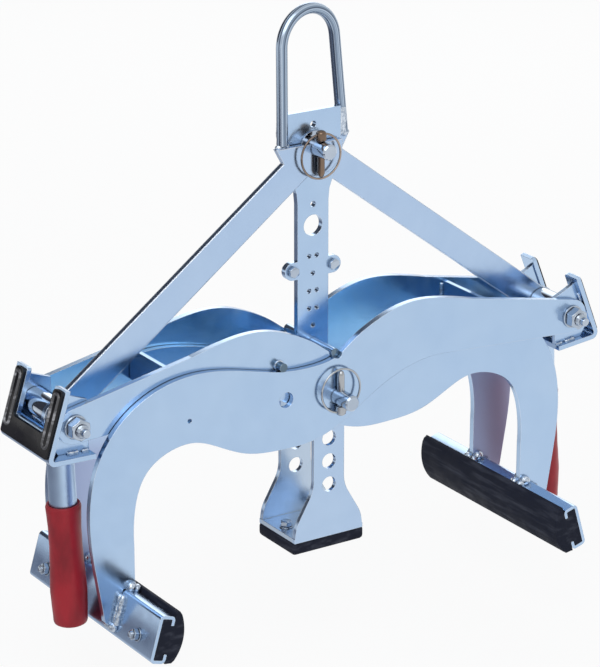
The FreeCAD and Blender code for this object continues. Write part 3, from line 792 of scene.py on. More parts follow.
@dataclass(frozen=True)
class SmallBolt:
    """The small bolts of the rubbers and of the bar's ears."""

    flats: float = 0.013
    nut: float = 0.0065
    shank: float = 0.004
    pitch: float = 0.00125
    washer: float = 0.0085
    washer_thick: float = 0.0016
    washer_bevel: float = 0.0004

    def seated(self, shape: Shape, seat: Vector, out: Vector) -> None:
        """Adds a washer and a nut or head on a seat.

        Args:
            shape: The shape to add to.
            seat: Middle of the seat.
            out: Unit vector away from it.
        """
        thick = self.washer_thick
        shape.loft(washer(seat, out, self.washer, thick, self.shank, self.washer_bevel, 40))
        shape.loft(hexed(seat + out * thick, out, self.flats, self.nut))

    def rod(self, foot: Vector, way: Vector, length: float, bevel: float = 0) -> list[Ring]:
        """Makes the rings of a plain shank.

        Args:
            foot: Foot of the shank.
            way: Unit vector towards its end.
            length: Its length.
            bevel: Size of the bevel at its end, if any.

        Returns:
            The rings.
        """
        profile = [(0, self.shank), (length - bevel, self.shank)]
        if bevel:
            profile.append((length, self.shank - bevel))
        return turned(foot, way, profile, 24)

    def end(self, foot: Vector, way: Vector, length: float) -> list[Ring]:
        """Returns the rings of a threaded end."""
        return threaded(foot, way, self.shank, length, self.pitch)


SMALL_BOLT = SmallBolt()


def rounded(corners: Sequence[Place], steps: int = 5) -> Outline:
    """Rounds the corners of a closed outline.

    Args:
        corners: (a, b, radius) of each corner in order.
        steps: Points along each rounding, less one.

    Returns:
        The outline's (a, b) points.
    """
    outline = []
    for i, (a, b, radius) in enumerate(corners):
        here = Vector((a, b))
        before = (Vector(corners[i - 1][:2]) - here).normalized()
        after = (Vector(corners[(i + 1) % len(corners)][:2]) - here).normalized()
        half = before.angle(after) / 2
        run = radius / math.tan(half)
        middle = here + (before + after).normalized() * (radius / math.sin(half))
        start = here + before * run - middle
        end = here + after * run - middle
        sweep = start.angle_signed(end)
        for k in range(steps + 1):
            point = middle + Matrix.Rotation(-sweep * k / steps, 2) @ start
            outline.append((point.x, point.y))
    return outline


def between(start: Sequence[float], end: Sequence[float], share: float) -> tuple[float, ...]:
    """Returns the point at a share of the way from start to end."""
    return tuple(a + (b - a) * share for a, b in zip(start, end))


def hump(at: float, height: float, middle: float, width: float) -> float:
    """Returns the height of a bell-shaped swelling at a place."""
    return height * math.exp(-((at - middle) / width) ** 2)


@dataclass
class Jaw:
    """One jaw: bent C rail, rubber face, bolts and the welds of the two legs."""

    side: Side
    body: str
    finishes: Finishes
    tilt: float = math.radians(16.5)
    reach: float = 0.316
    length: float = 0.300
    height: float = 0.060
    depth: float = 0.021
    wall: float = 0.004
    lip: float = 0.012
    lip_round: float = 0.0012
    bend: float = 0.0055
    toe: float = 0.032
    bulge: float = 0.040
    brow: float = 0.028
    over: float = 0.006
    seat: float = 0.0003
    face_steps: int = 16
    face_corner: tuple[float, float] = (0.0012, 0.0003)
    face_core: float = 0.012
    end_round: Steps = ((0.0022, 0.0), (0.0009, 0.0006), (0.0, 0.0022))
    bolt_reach: float = 0.112
    bolt_drop: float = 0.008
    bolt_foot: float = 0.0061
    bolt_end: float = 0.0065
    bolt_depth: float = 0.012
    bolt_bevel: float = 0.0005
    leg_sides: tuple[float, ...] = (-0.060, -0.052, 0.043, 0.051)
    leg_inner: float = 0.025
    leg_beads: Steps = ((0.0018, 0.0050), (0.0058, 0.0044))
    leg_pitch: float = 0.0042
    leg_back: float = -0.0012
    top_bead: float = 0.0040
    top_pitch: float = 0.005
    top_out: float = 0.0014
    top_lift: float = 0.0008
    top_run: Place = (0.003, 0.007, 0.011)
    blob_out: float = 0.0022

    @property
    def rise(self) -> float:
        """Returns the height of the rail's middle over the rubber's toe."""
        return self.toe * math.sin(self.tilt) + self.height / 2 * math.cos(self.tilt)

    def place(self, u: float, y: float, v: float) -> Vector:
        """Places a point of the jaw's own frame.

        Args:
            u: Distance from the web, towards the load.
            y: Distance along the jaw.
            v: Distance up the web.

        Returns:
            The point.
        """
        x = u * math.cos(self.tilt) + v * math.sin(self.tilt) - self.reach
        z = v * math.cos(self.tilt) - u * math.sin(self.tilt) + self.rise
        return Vector((x, y, z)) if self.side is Side.LEFT else Vector((-x, -y, z))

    def build(self) -> None:
        """Builds all pieces of the jaw."""
        self.rail()
        self.rubber()
        self.bolts()
        self.welds()

    def rail(self) -> None:
        """Builds the rail from sheet with rounded bends."""
        half, wall, mouth = self.height / 2, self.wall, self.height / 2 - self.lip
        inner, tight = self.bend - wall, self.lip_round
        front, under = self.depth - wall, half - wall
        outline = rounded([
            (self.depth, mouth, tight), (self.depth, half, self.bend), (0, half, self.bend),
            (0, -half, self.bend), (self.depth, -half, self.bend), (self.depth, -mouth, tight),
            (front, -mouth, tight), (front, -under, inner), (wall, -under, inner),
            (wall, under, inner), (front, under, inner), (front, mouth, tight)])
        rings = [[self.place(u, y, v) for u, v in outline] for y in (-self.length / 2, self.length / 2)]
        Shape().loft(rings).piece(f"{self.body}_rail_bent", self.body, Slot.ZINC, self.finishes.plate,
                                  f"{self.body}_jaw_rail", crease=25)

    def rubber_face(self) -> Outline:
        """Works out the bulged face from its toe to its brow.

        Returns:
            Its (u, v) points.
        """
        low, high = -self.height / 2, self.height / 2 + self.over
        swell = self.bulge - (self.toe + self.brow) / 2
        face = []
        for i in range(self.face_steps + 1):
            share = i / self.face_steps
            u = self.toe + (self.brow - self.toe) * share
            face.append((u + swell * (1 - (2 * share - 1) ** 2), low + (high - low) * share))
        back, step = self.face_corner
        face[0] = (face[0][0] - back, low + step)
        face[-1] = (face[-1][0] - back, high - step)
        return face

    def rubber(self) -> None:
        """Builds the rubber with its bulged face, rounded ends and the foot inside the rail."""
        half = self.height / 2
        low, high = -half, half + self.over
        face = self.rubber_face()
        back, inner = self.depth + self.seat, self.depth - self.wall - self.seat
        neck, foot = half - self.lip - self.seat, half - self.wall - self.seat
        root = self.wall + self.seat
        outline = [(back, low), *face, (back, high), (back, neck), (inner, neck), (inner, foot), (root, foot),
                   (root, -foot), (inner, -foot), (inner, -neck), (back, -neck)]
        middle = Vector((sum(u for u, _ in face) / len(face) - self.face_core, (low + high) / 2))
        end = self.length / 2
        slices = [(inset, -end + step) for inset, step in self.end_round]
        slices += [(inset, end - step) for inset, step in reversed(self.end_round)]
        rings = []
        for inset, y in slices:
            ring = []
            for k, (u, v) in enumerate(outline):
                point = Vector((u, v))
                if 1 <= k <= len(face):
                    point = point + (middle - point).normalized() * inset
                ring.append(self.place(point.x, y, point.y))
            rings.append(ring)
        Shape().loft(rings).piece(f"{self.body}_rubber_moulded", self.body, Slot.RUBBER, self.finishes.rubber,
                                  f"{self.body}_jaw_rubber", crease=SOFT_CREASE)

    def bolts(self) -> None:
        """Builds the two bolts with washers on the web's back, shanks into the rubber."""
        out = (self.place(-1, 0, 0) - self.place(0, 0, 0)).normalized()
        shape = Shape()
        for y in (-self.bolt_reach, self.bolt_reach):
            seat = self.place(0, y, -self.bolt_drop)
            SMALL_BOLT.seated(shape, seat, out)
            shape.loft(SMALL_BOLT.end(seat + out * self.bolt_foot, out, self.bolt_end))
            shape.loft(SMALL_BOLT.rod(seat, -out, self.bolt_depth, self.bolt_bevel))
        shape.piece(f"{self.body}_rubber_bolts", self.body, Slot.BRIGHT, self.finishes.bright,
                    f"{self.body}_jaw_bolts")

    def welds(self) -> None:
        """Builds the beads down both faces of each leg and the blobs at its inner corner."""
        shape = Shape()
        top = self.height / 2
        heights = (top - 0.005, top * 0.2, -top * 0.52)
        blobs = ((-0.002, -top * 0.60, 0.0062), (self.leg_inner - 0.016, top + 0.0040, 0.0068),
                 (self.leg_inner - 0.008, top + 0.0022, 0.0058))
        for k, y in enumerate(self.leg_sides):
            out = -1 if k % 2 == 0 else 1
            for step, size in self.leg_beads:
                path = [self.place(self.leg_back, y + out * step, v) for v in heights]
                shape.loft(WELD.bead(path, size, k * 1.7 + self.side.value + step * 800, self.leg_pitch))
            path = [self.place(u, y + out * self.top_out, top + self.top_lift) for u in self.top_run]
            shape.loft(WELD.bead(path, self.top_bead, k * 2.3 + self.side.value, self.top_pitch))
            for u, v, size in blobs:
                shape.loft(WELD.blob(self.place(u, y + out * self.blob_out, v), size, k + size * 900))
        shape.piece(f"{self.body}_leg_welds", self.body, Slot.BRIGHT, self.finishes.weld, crease=WELD_CREASE)


@dataclass
class Handle:
    """One handle: facing with raised loops, grip sleeve, and the welds of its yoke and tube."""

    side: Side
    body: str
    finishes: Finishes
    reach: float = 0.362
    axle: float = 0.284
    tilt: float = math.radians(19.7)
    lean: float = math.radians(-2.2)
    width: float = 0.120
    inner: float = 0.0234
    outer: float = 0.0294
    crest: float = 0.0435
    window: float = 0.068
    window_low: float = 0.014
    flange_drop: float = 0.0415
    flange_slope: float = math.radians(3.7)
    sheet: float = 0.006
    facing: float = 0.003
    margin: float = 0.003
    foot_round: float = 0.003
    top_round: float = 0.005
    notch_round: float = 0.006
    facing_bevel: float = 0.001
    ridge_inset: float = 0.0042
    ridge_low: float = 0.012
    ridge_top: float = 0.005
    ridge_half: float = 0.0021
    ridge_high: float = 0.0018
    tube_x: float = 0.358
    tube: float = 0.01685
    grip: float = 0.02095
    grip_top: float = 0.168
    grip_low: float = 0.010
    grip_room: float = 0.0002
    grip_floor: float = 0.004
    grip_eye: float = 0.001
    grip_base: Steps = ((0.0, 0.6), (0.0004, 0.88), (0.0016, 0.965))
    grip_swells: tuple[Place, ...] = ((0.0016, 0.26, 0.16), (0.0009, 0.99, 0.07), (-0.0009, 0.72, 0.20))
    grip_ripple: tuple[float, float] = (0.00012, 41)
    grip_rim: float = 0.0008
    grip_bore_end: float = 0.02
    weld_lift: float = 0.0006
    tube_bead: float = 0.0022
    tube_room: float = 0.0004
    face_bead: float = 0.0021
    face_run: Place = (0.004, 0.012, 0.020)
    plate_pitch: float = 0.0042
    side_plates: tuple[float, float] = (-0.0521, 0.043)
    plate_beads: tuple[Place, ...] = ((0.341, 0.352, 0.0026), (0.355, 0.372, 0.0030))

    def swing(self, x: float, y: float, z: float) -> Vector:
        """Sets a point of the right handle's upright frame on this side and leans it.

        Args:
            x: Its X.
            y: Its Y.
            z: Its Z.

        Returns:
            The point.
        """
        point = Vector((x, y, z)) if self.side is Side.RIGHT else Vector((-x, -y, z))
        pivot = Vector((self.reach * self.side.value, 0, self.axle))
        return pivot + Matrix.Rotation(self.lean, 3, "Y") @ (point - pivot)

    def face(self, out: float, up: float, y: float) -> Vector:
        """Places a point given from the axle.

        Args:
            out: Distance square to the yoke's face.
            up: Distance up along it.
            y: Distance across.

        Returns:
            The point.
        """
        x = self.reach + out * math.cos(self.tilt) - up * math.sin(self.tilt)
        z = self.axle + out * math.sin(self.tilt) + up * math.cos(self.tilt)
        return self.swing(x, y, z)

    def under(self, x: float) -> float:
        """Returns the height of the flange's underside at x in the right handle's upright frame."""
        return self.axle - self.flange_drop + (x - self.reach) * math.tan(self.flange_slope)

    def build(self) -> None:
        """Builds all pieces of the handle."""
        self.facing_sheet()
        self.facing_ridges()
        self.grip_sleeve()
        self.welds()

    def facing_edges(self) -> tuple[float, float, float, float]:
        """Works out the facing's edges.

        Returns:
            The lower and the upper edge, half the width and half the gap.
        """
        rise = math.tan(self.flange_slope)
        drop = self.sheet - self.flange_drop + self.outer * (math.cos(self.tilt) * rise - math.sin(self.tilt))
        low = drop / (math.cos(self.tilt) + math.sin(self.tilt) * rise) + self.margin
        return low, self.crest - self.margin, self.width / 2 - self.margin, self.window / 2 + self.margin

    def facing_sheet(self) -> None:
        """Builds the U-shaped facing."""
        low, top, side, gap = self.facing_edges()
        notch = -self.window_low - self.margin
        foot, shoulder, hollow = self.foot_round, self.top_round, self.notch_round
        outline = rounded([
            (-side, low, foot), (side, low, foot), (side, top, shoulder), (gap, top, shoulder),
            (gap, notch, hollow), (-gap, notch, hollow), (-gap, top, shoulder), (-side, top, shoulder)])
        middle, bevel = (low + top) / 2, self.facing_bevel
        rings = []
        for down, inset in ((self.facing, 0), (bevel, 0), (bevel * 0.3, bevel * 0.3), (0, bevel)):
            out = self.outer + (self.facing - down)
            rings.append([self.face(out, up + (middle - up) * inset / (top - low), y * (1 - inset / side))
                          for y, up in outline])
        Shape().loft(rings).piece(f"{self.body}_facing_moulded", self.body, Slot.RUBBER, self.finishes.facing,
                                  f"{self.body}_facing", crease=SOFT_CREASE)

    def facing_ridges(self) -> None:
        """Builds a raised loop on each prong of the facing."""
        low, top, side, gap = self.facing_edges()
        shape = Shape()
        prong = (side + gap) / 2
        wide = (side - gap) / 2 - self.ridge_inset
        start, end, bend = low + self.ridge_low, top - self.ridge_top, wide * 0.98
        for y in (-prong, prong):
            loop = rounded([(y - wide, start, bend), (y + wide, start, bend),
                            (y + wide, end, bend), (y - wide, end, bend)], 8)
            tubes = []
            for k, (across, up) in enumerate(loop):
                ahead = Vector(loop[(k + 1) % len(loop)]) - Vector(loop[k - 1])
                normal = Vector((ahead.y, -ahead.x)).normalized()
                ring = []
                for turn in turns(10):
                    shift = normal * math.cos(turn) * self.ridge_half
                    out = self.outer + self.facing + math.sin(turn) * self.ridge_high
                    ring.append(self.face(out, up + shift.y, across + shift.x))
                tubes.append(ring)
            shape.loft(tubes, looped=True)
        shape.piece(f"{self.body}_facing_ridges", self.body, Slot.RUBBER, self.finishes.ridge,
                    crease=SOFT_CREASE)

    def grip_sleeve(self) -> None:
        """Builds the grip as a turned sleeve with a rolled rim and a closed, rounded end."""
        bore, high, floor = self.tube + self.grip_room, self.grip_top - self.grip_low, self.grip_floor
        half = (self.grip - bore) / 2
        depth, rate = self.grip_ripple
        profile = [(0.0, self.grip_eye)] + [(height, self.grip * share) for height, share in self.grip_base]
        profile.append((floor, self.grip))
        for i in range(1, 24):
            share = i / 24
            swell = sum(hump(share, *form) for form in self.grip_swells) - depth * math.sin(share * rate)
            profile.append((floor + (high - floor * 2) * share, self.grip + swell))
        profile.append((high - floor, self.grip + self.grip_rim))
        for i in range(9):
            turn = math.pi * i / 8
            profile.append((high - half + math.sin(turn) * half, bore + half + math.cos(turn) * half))
        profile += [(high - self.grip_bore_end, bore), (floor, bore), (floor, self.grip_eye)]
        foot = self.swing(self.tube_x, 0, self.grip_low)
        axis = (self.swing(self.tube_x, 0, self.grip_top) - foot).normalized()
        Shape().loft(turned(foot, axis, profile, 64)).piece(
            f"{self.body}_grip_dipped", self.body, Slot.GRIP, self.finishes.grip, f"{self.body}_grip",
            crease=ROUND_CREASE)

    def welds(self) -> None:
        """Builds the ring under the flange and the beads at the foot of the side plates."""
        shape = Shape()
        around = self.tube + self.tube_room
        ring = []
        for turn in turns(40, closed=True):
            x = self.tube_x + math.cos(turn) * around
            ring.append(self.swing(x, math.sin(turn) * around, self.under(x) - self.weld_lift))
        shape.loft(WELD.bead(ring, self.tube_bead, 1.3))
        for k, y in enumerate(self.side_plates):
            for start, end, size in self.plate_beads:
                path = [self.swing(x, y, self.under(x) + self.sheet + self.weld_lift)
                        for x in (start, (start + end) / 2, end)]
                shape.loft(WELD.bead(path, size, k + start * 90, self.plate_pitch))
            path = [self.face(self.inner - self.weld_lift, up, y) for up in self.face_run]
            shape.loft(WELD.bead(path, self.face_bead, k + 4.2))
        shape.piece(f"{self.body}_yoke_welds", self.body, Slot.BRIGHT, self.finishes.weld, crease=WELD_CREASE)


@dataclass
class Axle:
    """A handle's axle: bolt with chamfered head and threaded end, nut and washers."""

    body: str
    x: float
    front: float
    back: float
    finishes: Finishes
    z: float = 0.284
    shank: float = 0.008
    pitch: float = 0.002
    overlap: float = 0.002
    flats: float = 0.024
    head: float = 0.010
    nut: float = 0.013
    collar: Steps = ((-0.004, 1.02), (0.0003, 1.16), (0.0003, 0.9))
    tip: float = 0.013
    dog: float = 0.0052
    dog_bevel: float = 0.0008
    washer: float = 0.0148
    washer_thick: float = 0.003
    washer_bevel: float = 0.0008

    def at(self, y: float) -> Vector:
        """Returns the point of the axle's line at y."""
        return Vector((self.x, y, self.z))

    def build(self) -> None:
        """Builds the bolt, and the nut with both washers."""
        back = self.at(self.back + self.washer_thick)
        nut_seat = self.at(self.front - self.washer_thick)
        nut_face = nut_seat + AHEAD * self.nut
        half_tip = self.tip * 0.5
        bolt = Shape()
        bolt.loft(hexed(back, -AHEAD, self.flats, self.head, False))
        bolt.loft(turned(back, AHEAD, [(0, self.shank), (back.y - nut_seat.y, self.shank)], 40))
        bolt.loft(threaded(nut_face - AHEAD * self.overlap, AHEAD, self.shank, half_tip + self.overlap,
                           self.pitch))
        bevel = self.dog_bevel
        dog = [(-0.001, self.dog), (half_tip - bevel, self.dog), (half_tip, self.dog - bevel)]
        bolt.loft(turned(nut_face + AHEAD * half_tip, AHEAD, dog, 32))
        bolt.piece(f"{self.body}_axle_threaded", self.body, Slot.BRIGHT, self.finishes.bright,
                   f"{self.body}_axle_bolt")
        nut = Shape()
        nut.loft(hexed(nut_seat, AHEAD, self.flats, self.nut))
        nut.loft(turned(nut_face, AHEAD, [(height, self.shank * share) for height, share in self.collar], 40))
        for seat, way in ((self.at(self.front), AHEAD), (self.at(self.back), -AHEAD)):
            nut.loft(washer(seat, way, self.washer, self.washer_thick, self.shank, self.washer_bevel, 48))
        nut.piece(f"{self.body}_axle_nut_chamfered", self.body, Slot.BRIGHT, self.finishes.bright,
                  f"{self.body}_axle_nut")


@dataclass
class LynchSet:
    """A lynch pin through the end of a pin, and its ring."""

    name: str
    body: str
    ring_body: str
    y: float
    z: float
    up: int
    finish: Material
    ring_finish: Material
    shaft: float = 0.0045
    head: float = 0.0065
    head_start: float = 0.0106
    head_end: float = 0.0236
    dome: float = 0.7
    head_step: float = 0.0004
    head_edge: float = 0.9
    head_round: float = 0.0006
    tip: float = 0.0348
    tip_form: Steps = ((0, 0.45), (0.0012, 0.72), (0.005, 1))
    ring_reach: float = 0.019
    ring: float = 0.028
    wire: float = 0.0014

    def build(self) -> None:
        """Builds the pin as a turned form with a domed head, and the ring as round wire."""
        axis = UP * self.up
        middle = Vector((0, self.y, self.z))
        shaft, head, start = self.shaft, self.head, self.head_start
        profile = [(-self.tip + height, shaft * share) for height, share in self.tip_form]
        profile += [(start - self.head_step, shaft), (start, head * self.head_edge),
                    (start + self.head_round, head)]
        dome = head * self.dome
        for i in range(9):
            turn = math.pi / 2 * i / 8
            profile.append((self.head_end - dome + math.sin(turn) * dome, max(math.cos(turn), 0.04) * head))
        Shape().loft(turned(middle, axis, profile, 40)).piece(
            f"{self.name}_lynch_turned", self.body, Slot.YELLOW, self.finish, f"{self.name}_lynch_pin")
        centre = middle + axis * (self.ring_reach - self.ring)
        rings = []
        for turn in turns(96):
            way = Vector((math.cos(turn), 0, math.sin(turn)))
            rings.append([centre + way * self.ring + spoke(way, -AHEAD, a, self.wire) for a in turns(14)])
        Shape().loft(rings, looped=True).piece(
            f"{self.name}_ring_wire", self.ring_body, Slot.YELLOW, self.ring_finish,
            f"{self.name}_lynch_ring")


@dataclass
class LiftingEye:
    """The bent round bar of the eye with its welds, and the bolts of the bar's ears."""

    finishes: Finishes
    body: str = "eye"
    radius: float = 0.007
    end_bevel: float = 0.0012
    sides: int = 28
    leg_x: float = 0.04633
    leg_y: float = 0.00722
    leg_low: float = 0.563
    top: float = 0.733
    plate_top: float = 0.600
    bar_half: float = 0.004
    ear_x: float = 0.0295
    ear_head: float = 0.0053
    ear_length: float = 0.0135
    ear_thread: tuple[float, float] = (0.0055, 0.0026)
    bend_share: float = 0.905
    bend_steps: int = 48
    leg_shares: tuple[float, ...] = (0, 0.012, 1 / 6, 2 / 6, 3 / 6, 4 / 6, 5 / 6)
    shift: float = 0.0052
    beads: tuple[Place, ...] = ((0.0415, 0.0, 0.0040), (0.0450, 0.0012, 0.0046), (0.0480, 0.0026, 0.0036))
    bead_pitch: float = 0.0058
    blobs: Steps = ((-0.006, 0.0042), (0.001, 0.0050), (0.006, 0.0038))
    weld_drop: float = 0.001
    bead_middle: float = 0.018
    bead_top: float = 0.003
    right_foot: float = 0.0

    @property
    def leg(self) -> float:
        """Returns a leg's distance from the middle."""
        return math.hypot(self.leg_x, self.leg_y)

    @property
    def way(self) -> Vector:
        """Returns the unit vector from the left leg to the right one."""
        return Vector((self.leg_x, self.leg_y, 0)).normalized()

    def build(self) -> None:
        """Builds the loop, its welds and the ear bolts."""
        self.loop()
        self.welds()
        self.ear_bolts()

    def touch(self, along: float, z: float, spring: float, bend: float, side: int) -> float:
        """Returns the angle at which a leg from a point meets the bend; side 1 is the left leg."""
        run = Vector((-self.shift - along, spring - z))
        return math.atan2(run.y, run.x) + side * (math.asin(bend / run.length) + math.pi / 2)

    def stations(self) -> list[Place]:
        """Works out the bar's middle line, and keeps the place of the right leg's foot.

        Returns:
            (along, z, turn) from the left foot over the bend to the right foot.
        """
        leg = self.leg
        bend = leg * self.bend_share
        spring = self.top - self.radius - bend
        left = self.touch(-leg, self.leg_low, spring, bend, 1)
        right = self.touch(leg, self.plate_top, spring, bend, -1)
        angles = [left + (right - left) * i / self.bend_steps for i in range(self.bend_steps + 1)]
        crown = [(bend * math.cos(turn) - self.shift, spring + bend * math.sin(turn), turn)
                 for turn in angles]
        start, end = crown[0], crown[-1]
        drop = (end[1] - self.leg_low) / (end[1] - self.plate_top)
        self.right_foot = end[0] + (leg - end[0]) * drop
        left_leg = [between((-leg, self.leg_low, left), start, share) for share in self.leg_shares]
        right_leg = [between((self.right_foot, self.leg_low, right), end, share) for share in self.leg_shares]
        return left_leg + crown + right_leg[::-1]

    def loop(self) -> None:
        """Builds the bent bar, with the vectors that its painted reflection stripes follow."""
        way = self.way
        square = Vector((-way.y, way.x, 0))
        stations = self.stations()
        rings = []
        for k, (along, z, turn) in enumerate(stations):
            size = self.radius - (self.end_bevel if k in (0, len(stations) - 1) else 0)
            out = way * math.cos(turn) + UP * math.sin(turn)
            middle = way * along + UP * z
            rings.append([middle + spoke(out, square, angle, size) for angle in turns(self.sides)])
        loop = Shape().loft(rings).piece("eye_loop_bent", self.body, Slot.BRIGHT, self.finishes.bar,
                                         "lifting_eye")
        around = loop.data.attributes.new("around", "FLOAT_VECTOR", "POINT")
        for k, value in enumerate(around.data):
            turn = FULL_TURN * (k % self.sides) / self.sides
            value.vector = (math.cos(turn), math.sin(turn), 0)

    def welds(self) -> None:
        """Builds the beads along both legs and the blobs at their ends."""
        shape = Shape()
        low = self.leg_low - self.weld_drop
        heights = (low, self.leg_low + self.bead_middle, self.plate_top - self.bead_top)
        for sign in (-1, 1):
            for k, (x, y, size) in enumerate(self.beads):
                path = [Vector((sign * x, sign * y, z)) for z in heights]
                shape.loft(WELD.bead(path, size, sign + k * 2.1, self.bead_pitch))
        for k, foot in enumerate((-self.leg, self.right_foot)):
            for step, size in self.blobs:
                middle = self.way * (foot + step) + UP * low
                shape.loft(WELD.blob(middle, size, k * 3 + step * 400))
        shape.piece("eye_corner_welds", self.body, Slot.BRIGHT, self.finishes.weld, crease=WELD_CREASE)

    def ear_bolts(self) -> None:
        """Builds the small bolts through the ears with their nuts."""
        low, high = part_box("bar_ear_bolts")
        z = (low.z + high.z) / 2
        start, length = self.ear_thread
        shape = Shape()
        for x in (-self.ear_x, self.ear_x):
            front = Vector((x, -self.bar_half, z))
            back = Vector((x, self.bar_half, z))
            shape.loft(hexed(front, AHEAD, SMALL_BOLT.flats, self.ear_head, False))
            shape.loft(hexed(back, -AHEAD, SMALL_BOLT.flats, SMALL_BOLT.nut))
            shape.loft(SMALL_BOLT.rod(front, -AHEAD, self.ear_length))
            shape.loft(SMALL_BOLT.end(back - AHEAD * start, -AHEAD, length))
        shape.piece("ear_bolts_chamfered", self.body, Slot.BRIGHT, self.finishes.bright, "bar_ear_bolts")


@dataclass
class Foot:
    """The foot's moulded pad and the bolts on its base."""

    finishes: Finishes
    body: str = "foot"
    base_top: float = 0.062
    corner: float = 0.003
    low_round: Steps = ((0, 0.003), (0.0006, 0.0018), (0.0025, 0.0004), (0.005, 0))
    high_round: Steps = ((0.003, 0), (0.0008, 0.0005), (0, 0.0016))
    bolt_x: float = 0.037
    bolt_depth: float = 0.0137

    def build(self) -> None:
        """Builds the pad with rounded corners and the bolts with washers."""
        low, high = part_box("foot_pad")
        levels = [(low.z + step, inset) for step, inset in self.low_round]
        levels += [(high.z - step, inset) for step, inset in self.high_round]
        rings = []
        for z, inset in levels:
            x, y = high.x - inset, high.y - inset
            outline = rounded([(a, b, self.corner) for a, b in ((-x, -y), (x, -y), (x, y), (-x, y))])
            rings.append([Vector((a, b, z)) for a, b in outline])
        Shape().loft(rings).piece("foot_pad_moulded", self.body, Slot.RUBBER, self.finishes.rubber,
                                  "foot_pad", crease=ROUND_CREASE)
        shape = Shape()
        for x in (-self.bolt_x, self.bolt_x):
            seat = Vector((x, 0, self.base_top))
            SMALL_BOLT.seated(shape, seat, UP)
            shape.loft(SMALL_BOLT.rod(seat, -UP, self.bolt_depth))
        shape.piece("foot_bolts_chamfered", self.body, Slot.BRIGHT, self.finishes.bright, "foot_bolts")


@dataclass
class ArmWelds:
    """The welds of an arm's cross plate and stop pin."""

    body: str
    side: Side
    finishes: Finishes
    lift: float = 0.0006
    full_bead: float = 0.0024
    full_ends: tuple[float, float] = (0.003, 0.004)
    tab_bead: float = 0.0019
    tab_drops: Place = (0.001, 0.004, 0.007)
    pin_bead: float = 0.0012
    pin_ring: float = 0.0058
    pin_lift: float = 0.0004

    def build(self) -> None:
        """Builds the beads down the cross plate's ends and round the stop pin's root."""
        shape = Shape()
        low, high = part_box(f"{self.body}_tie_plate")
        sign = -self.side.value
        full, tab = (high.y, low.y) if sign > 0 else (low.y, high.y)
        top_gap, low_gap = self.full_ends
        full_heights = (high.z - top_gap, (low.z + high.z) / 2, low.z + low_gap)
        tab_heights = [high.z - drop for drop in self.tab_drops]
        for k, x in enumerate((low.x - self.lift, high.x + self.lift)):
            path = [Vector((x, full - sign * self.lift, z)) for z in full_heights]
            shape.loft(WELD.bead(path, self.full_bead, k + sign * 1.1))
            path = [Vector((x, tab + sign * self.lift, z)) for z in tab_heights]
            shape.loft(WELD.bead(path, self.tab_bead, k + sign * 2.3))
        low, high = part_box(f"{self.body}_stop_pin")
        root = (low + high) / 2
        root.y = (low.y if sign > 0 else high.y) + sign * self.pin_lift
        ring = [root + spoke(Vector((1, 0, 0)), UP, turn, self.pin_ring) for turn in turns(20, closed=True)]
        shape.loft(WELD.bead(ring, self.pin_bead, 2.2))
        shape.piece(f"{self.body}_plate_welds", self.body, Slot.BRIGHT, self.finishes.weld,
                    crease=WELD_CREASE)


def dress_nodes(finishes: Finishes) -> None:
    """Gives every CAD node the first finish that has a word of the node's name, or else the plates' finish.

    Args:
        finishes: The finishes to choose from.
    """
    words_of = (
        (finishes.arm, ("outer_plate", "inner_plate")),
        (finishes.rubber, ("rubber", "pad")),
        (finishes.facing, ("facing",)),
        (finishes.grip, ("grip",)),
        (finishes.yellow, ("lynch",)),
        (finishes.dark, ("stop_pin",)),
        (finishes.rest, ("rest_pin",)),
        (finishes.foot, ("foot_bracket",)),
        (finishes.tie, ("tie_plate",)),
        (finishes.link, ("_link",)),
        (finishes.bright, ("pin", "bolt", "nut", "washers", "sleeves", "spacer")),
        (finishes.tube, ("tube",)),
        (finishes.bar, ("lifting_eye",)),
    )
    for name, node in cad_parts.items():
        fitting = (finish for finish, words in words_of if any(word in name for word in words))
        material = next(fitting, finishes.plate)
        node.data.materials.clear()
        node.data.materials.append(material)
        LOG.info("%s dressed with %s", name, material.name)


def panel(name: str, corners: Sequence[Place], material: Material) -> bpy.types.Object:
    """Adds a flat panel of the studio.

    Args:
        name: Its name.
        corners: Its corners in order.
        material: Its material.

    Returns:
        The panel.
    """
    data = bpy.data.meshes.new(name)
    data.from_pydata(list(corners), [], [tuple(range(len(corners)))])
    data.materials.append(material)
    flat = placed(name, data)
    return flat


def aimed(start: Place, target: Place) -> Euler:
    """Returns the turn that makes a lamp or camera at start look at the target."""
    return (Vector(target) - Vector(start)).to_track_quat("-Z", "Y").to_euler()


@dataclass
class DarkCard:
    """A dark studio card that only reflections show, fading in from one edge."""

    name: str
    corners: tuple[Place, ...]
    way: Place
    start: float
    width: float
    level: float
    blue: float = 1.2

    def build(self) -> None:
        """Builds the card and its fading material."""
        graph = Surface(self.name)
        along = graph.node("ShaderNodeVectorMath", graph.place, self.way, operation="DOT_PRODUCT")
        share = graph.span(along.outputs["Value"], self.start, self.start + self.width)
        clear = graph.node("ShaderNodeBsdfTransparent").outputs[0]
        tone = (self.level, self.level, self.level * self.blue, 1)
        graph.show(graph.mix(share, clear, graph.node("ShaderNodeEmission", Color=tone).outputs[0]))
        card = panel(self.name, self.corners, graph.material)
        for rays in ("camera", "diffuse", "shadow", "transmission", "volume_scatter"):
            setattr(card, f"visible_{rays}", False)


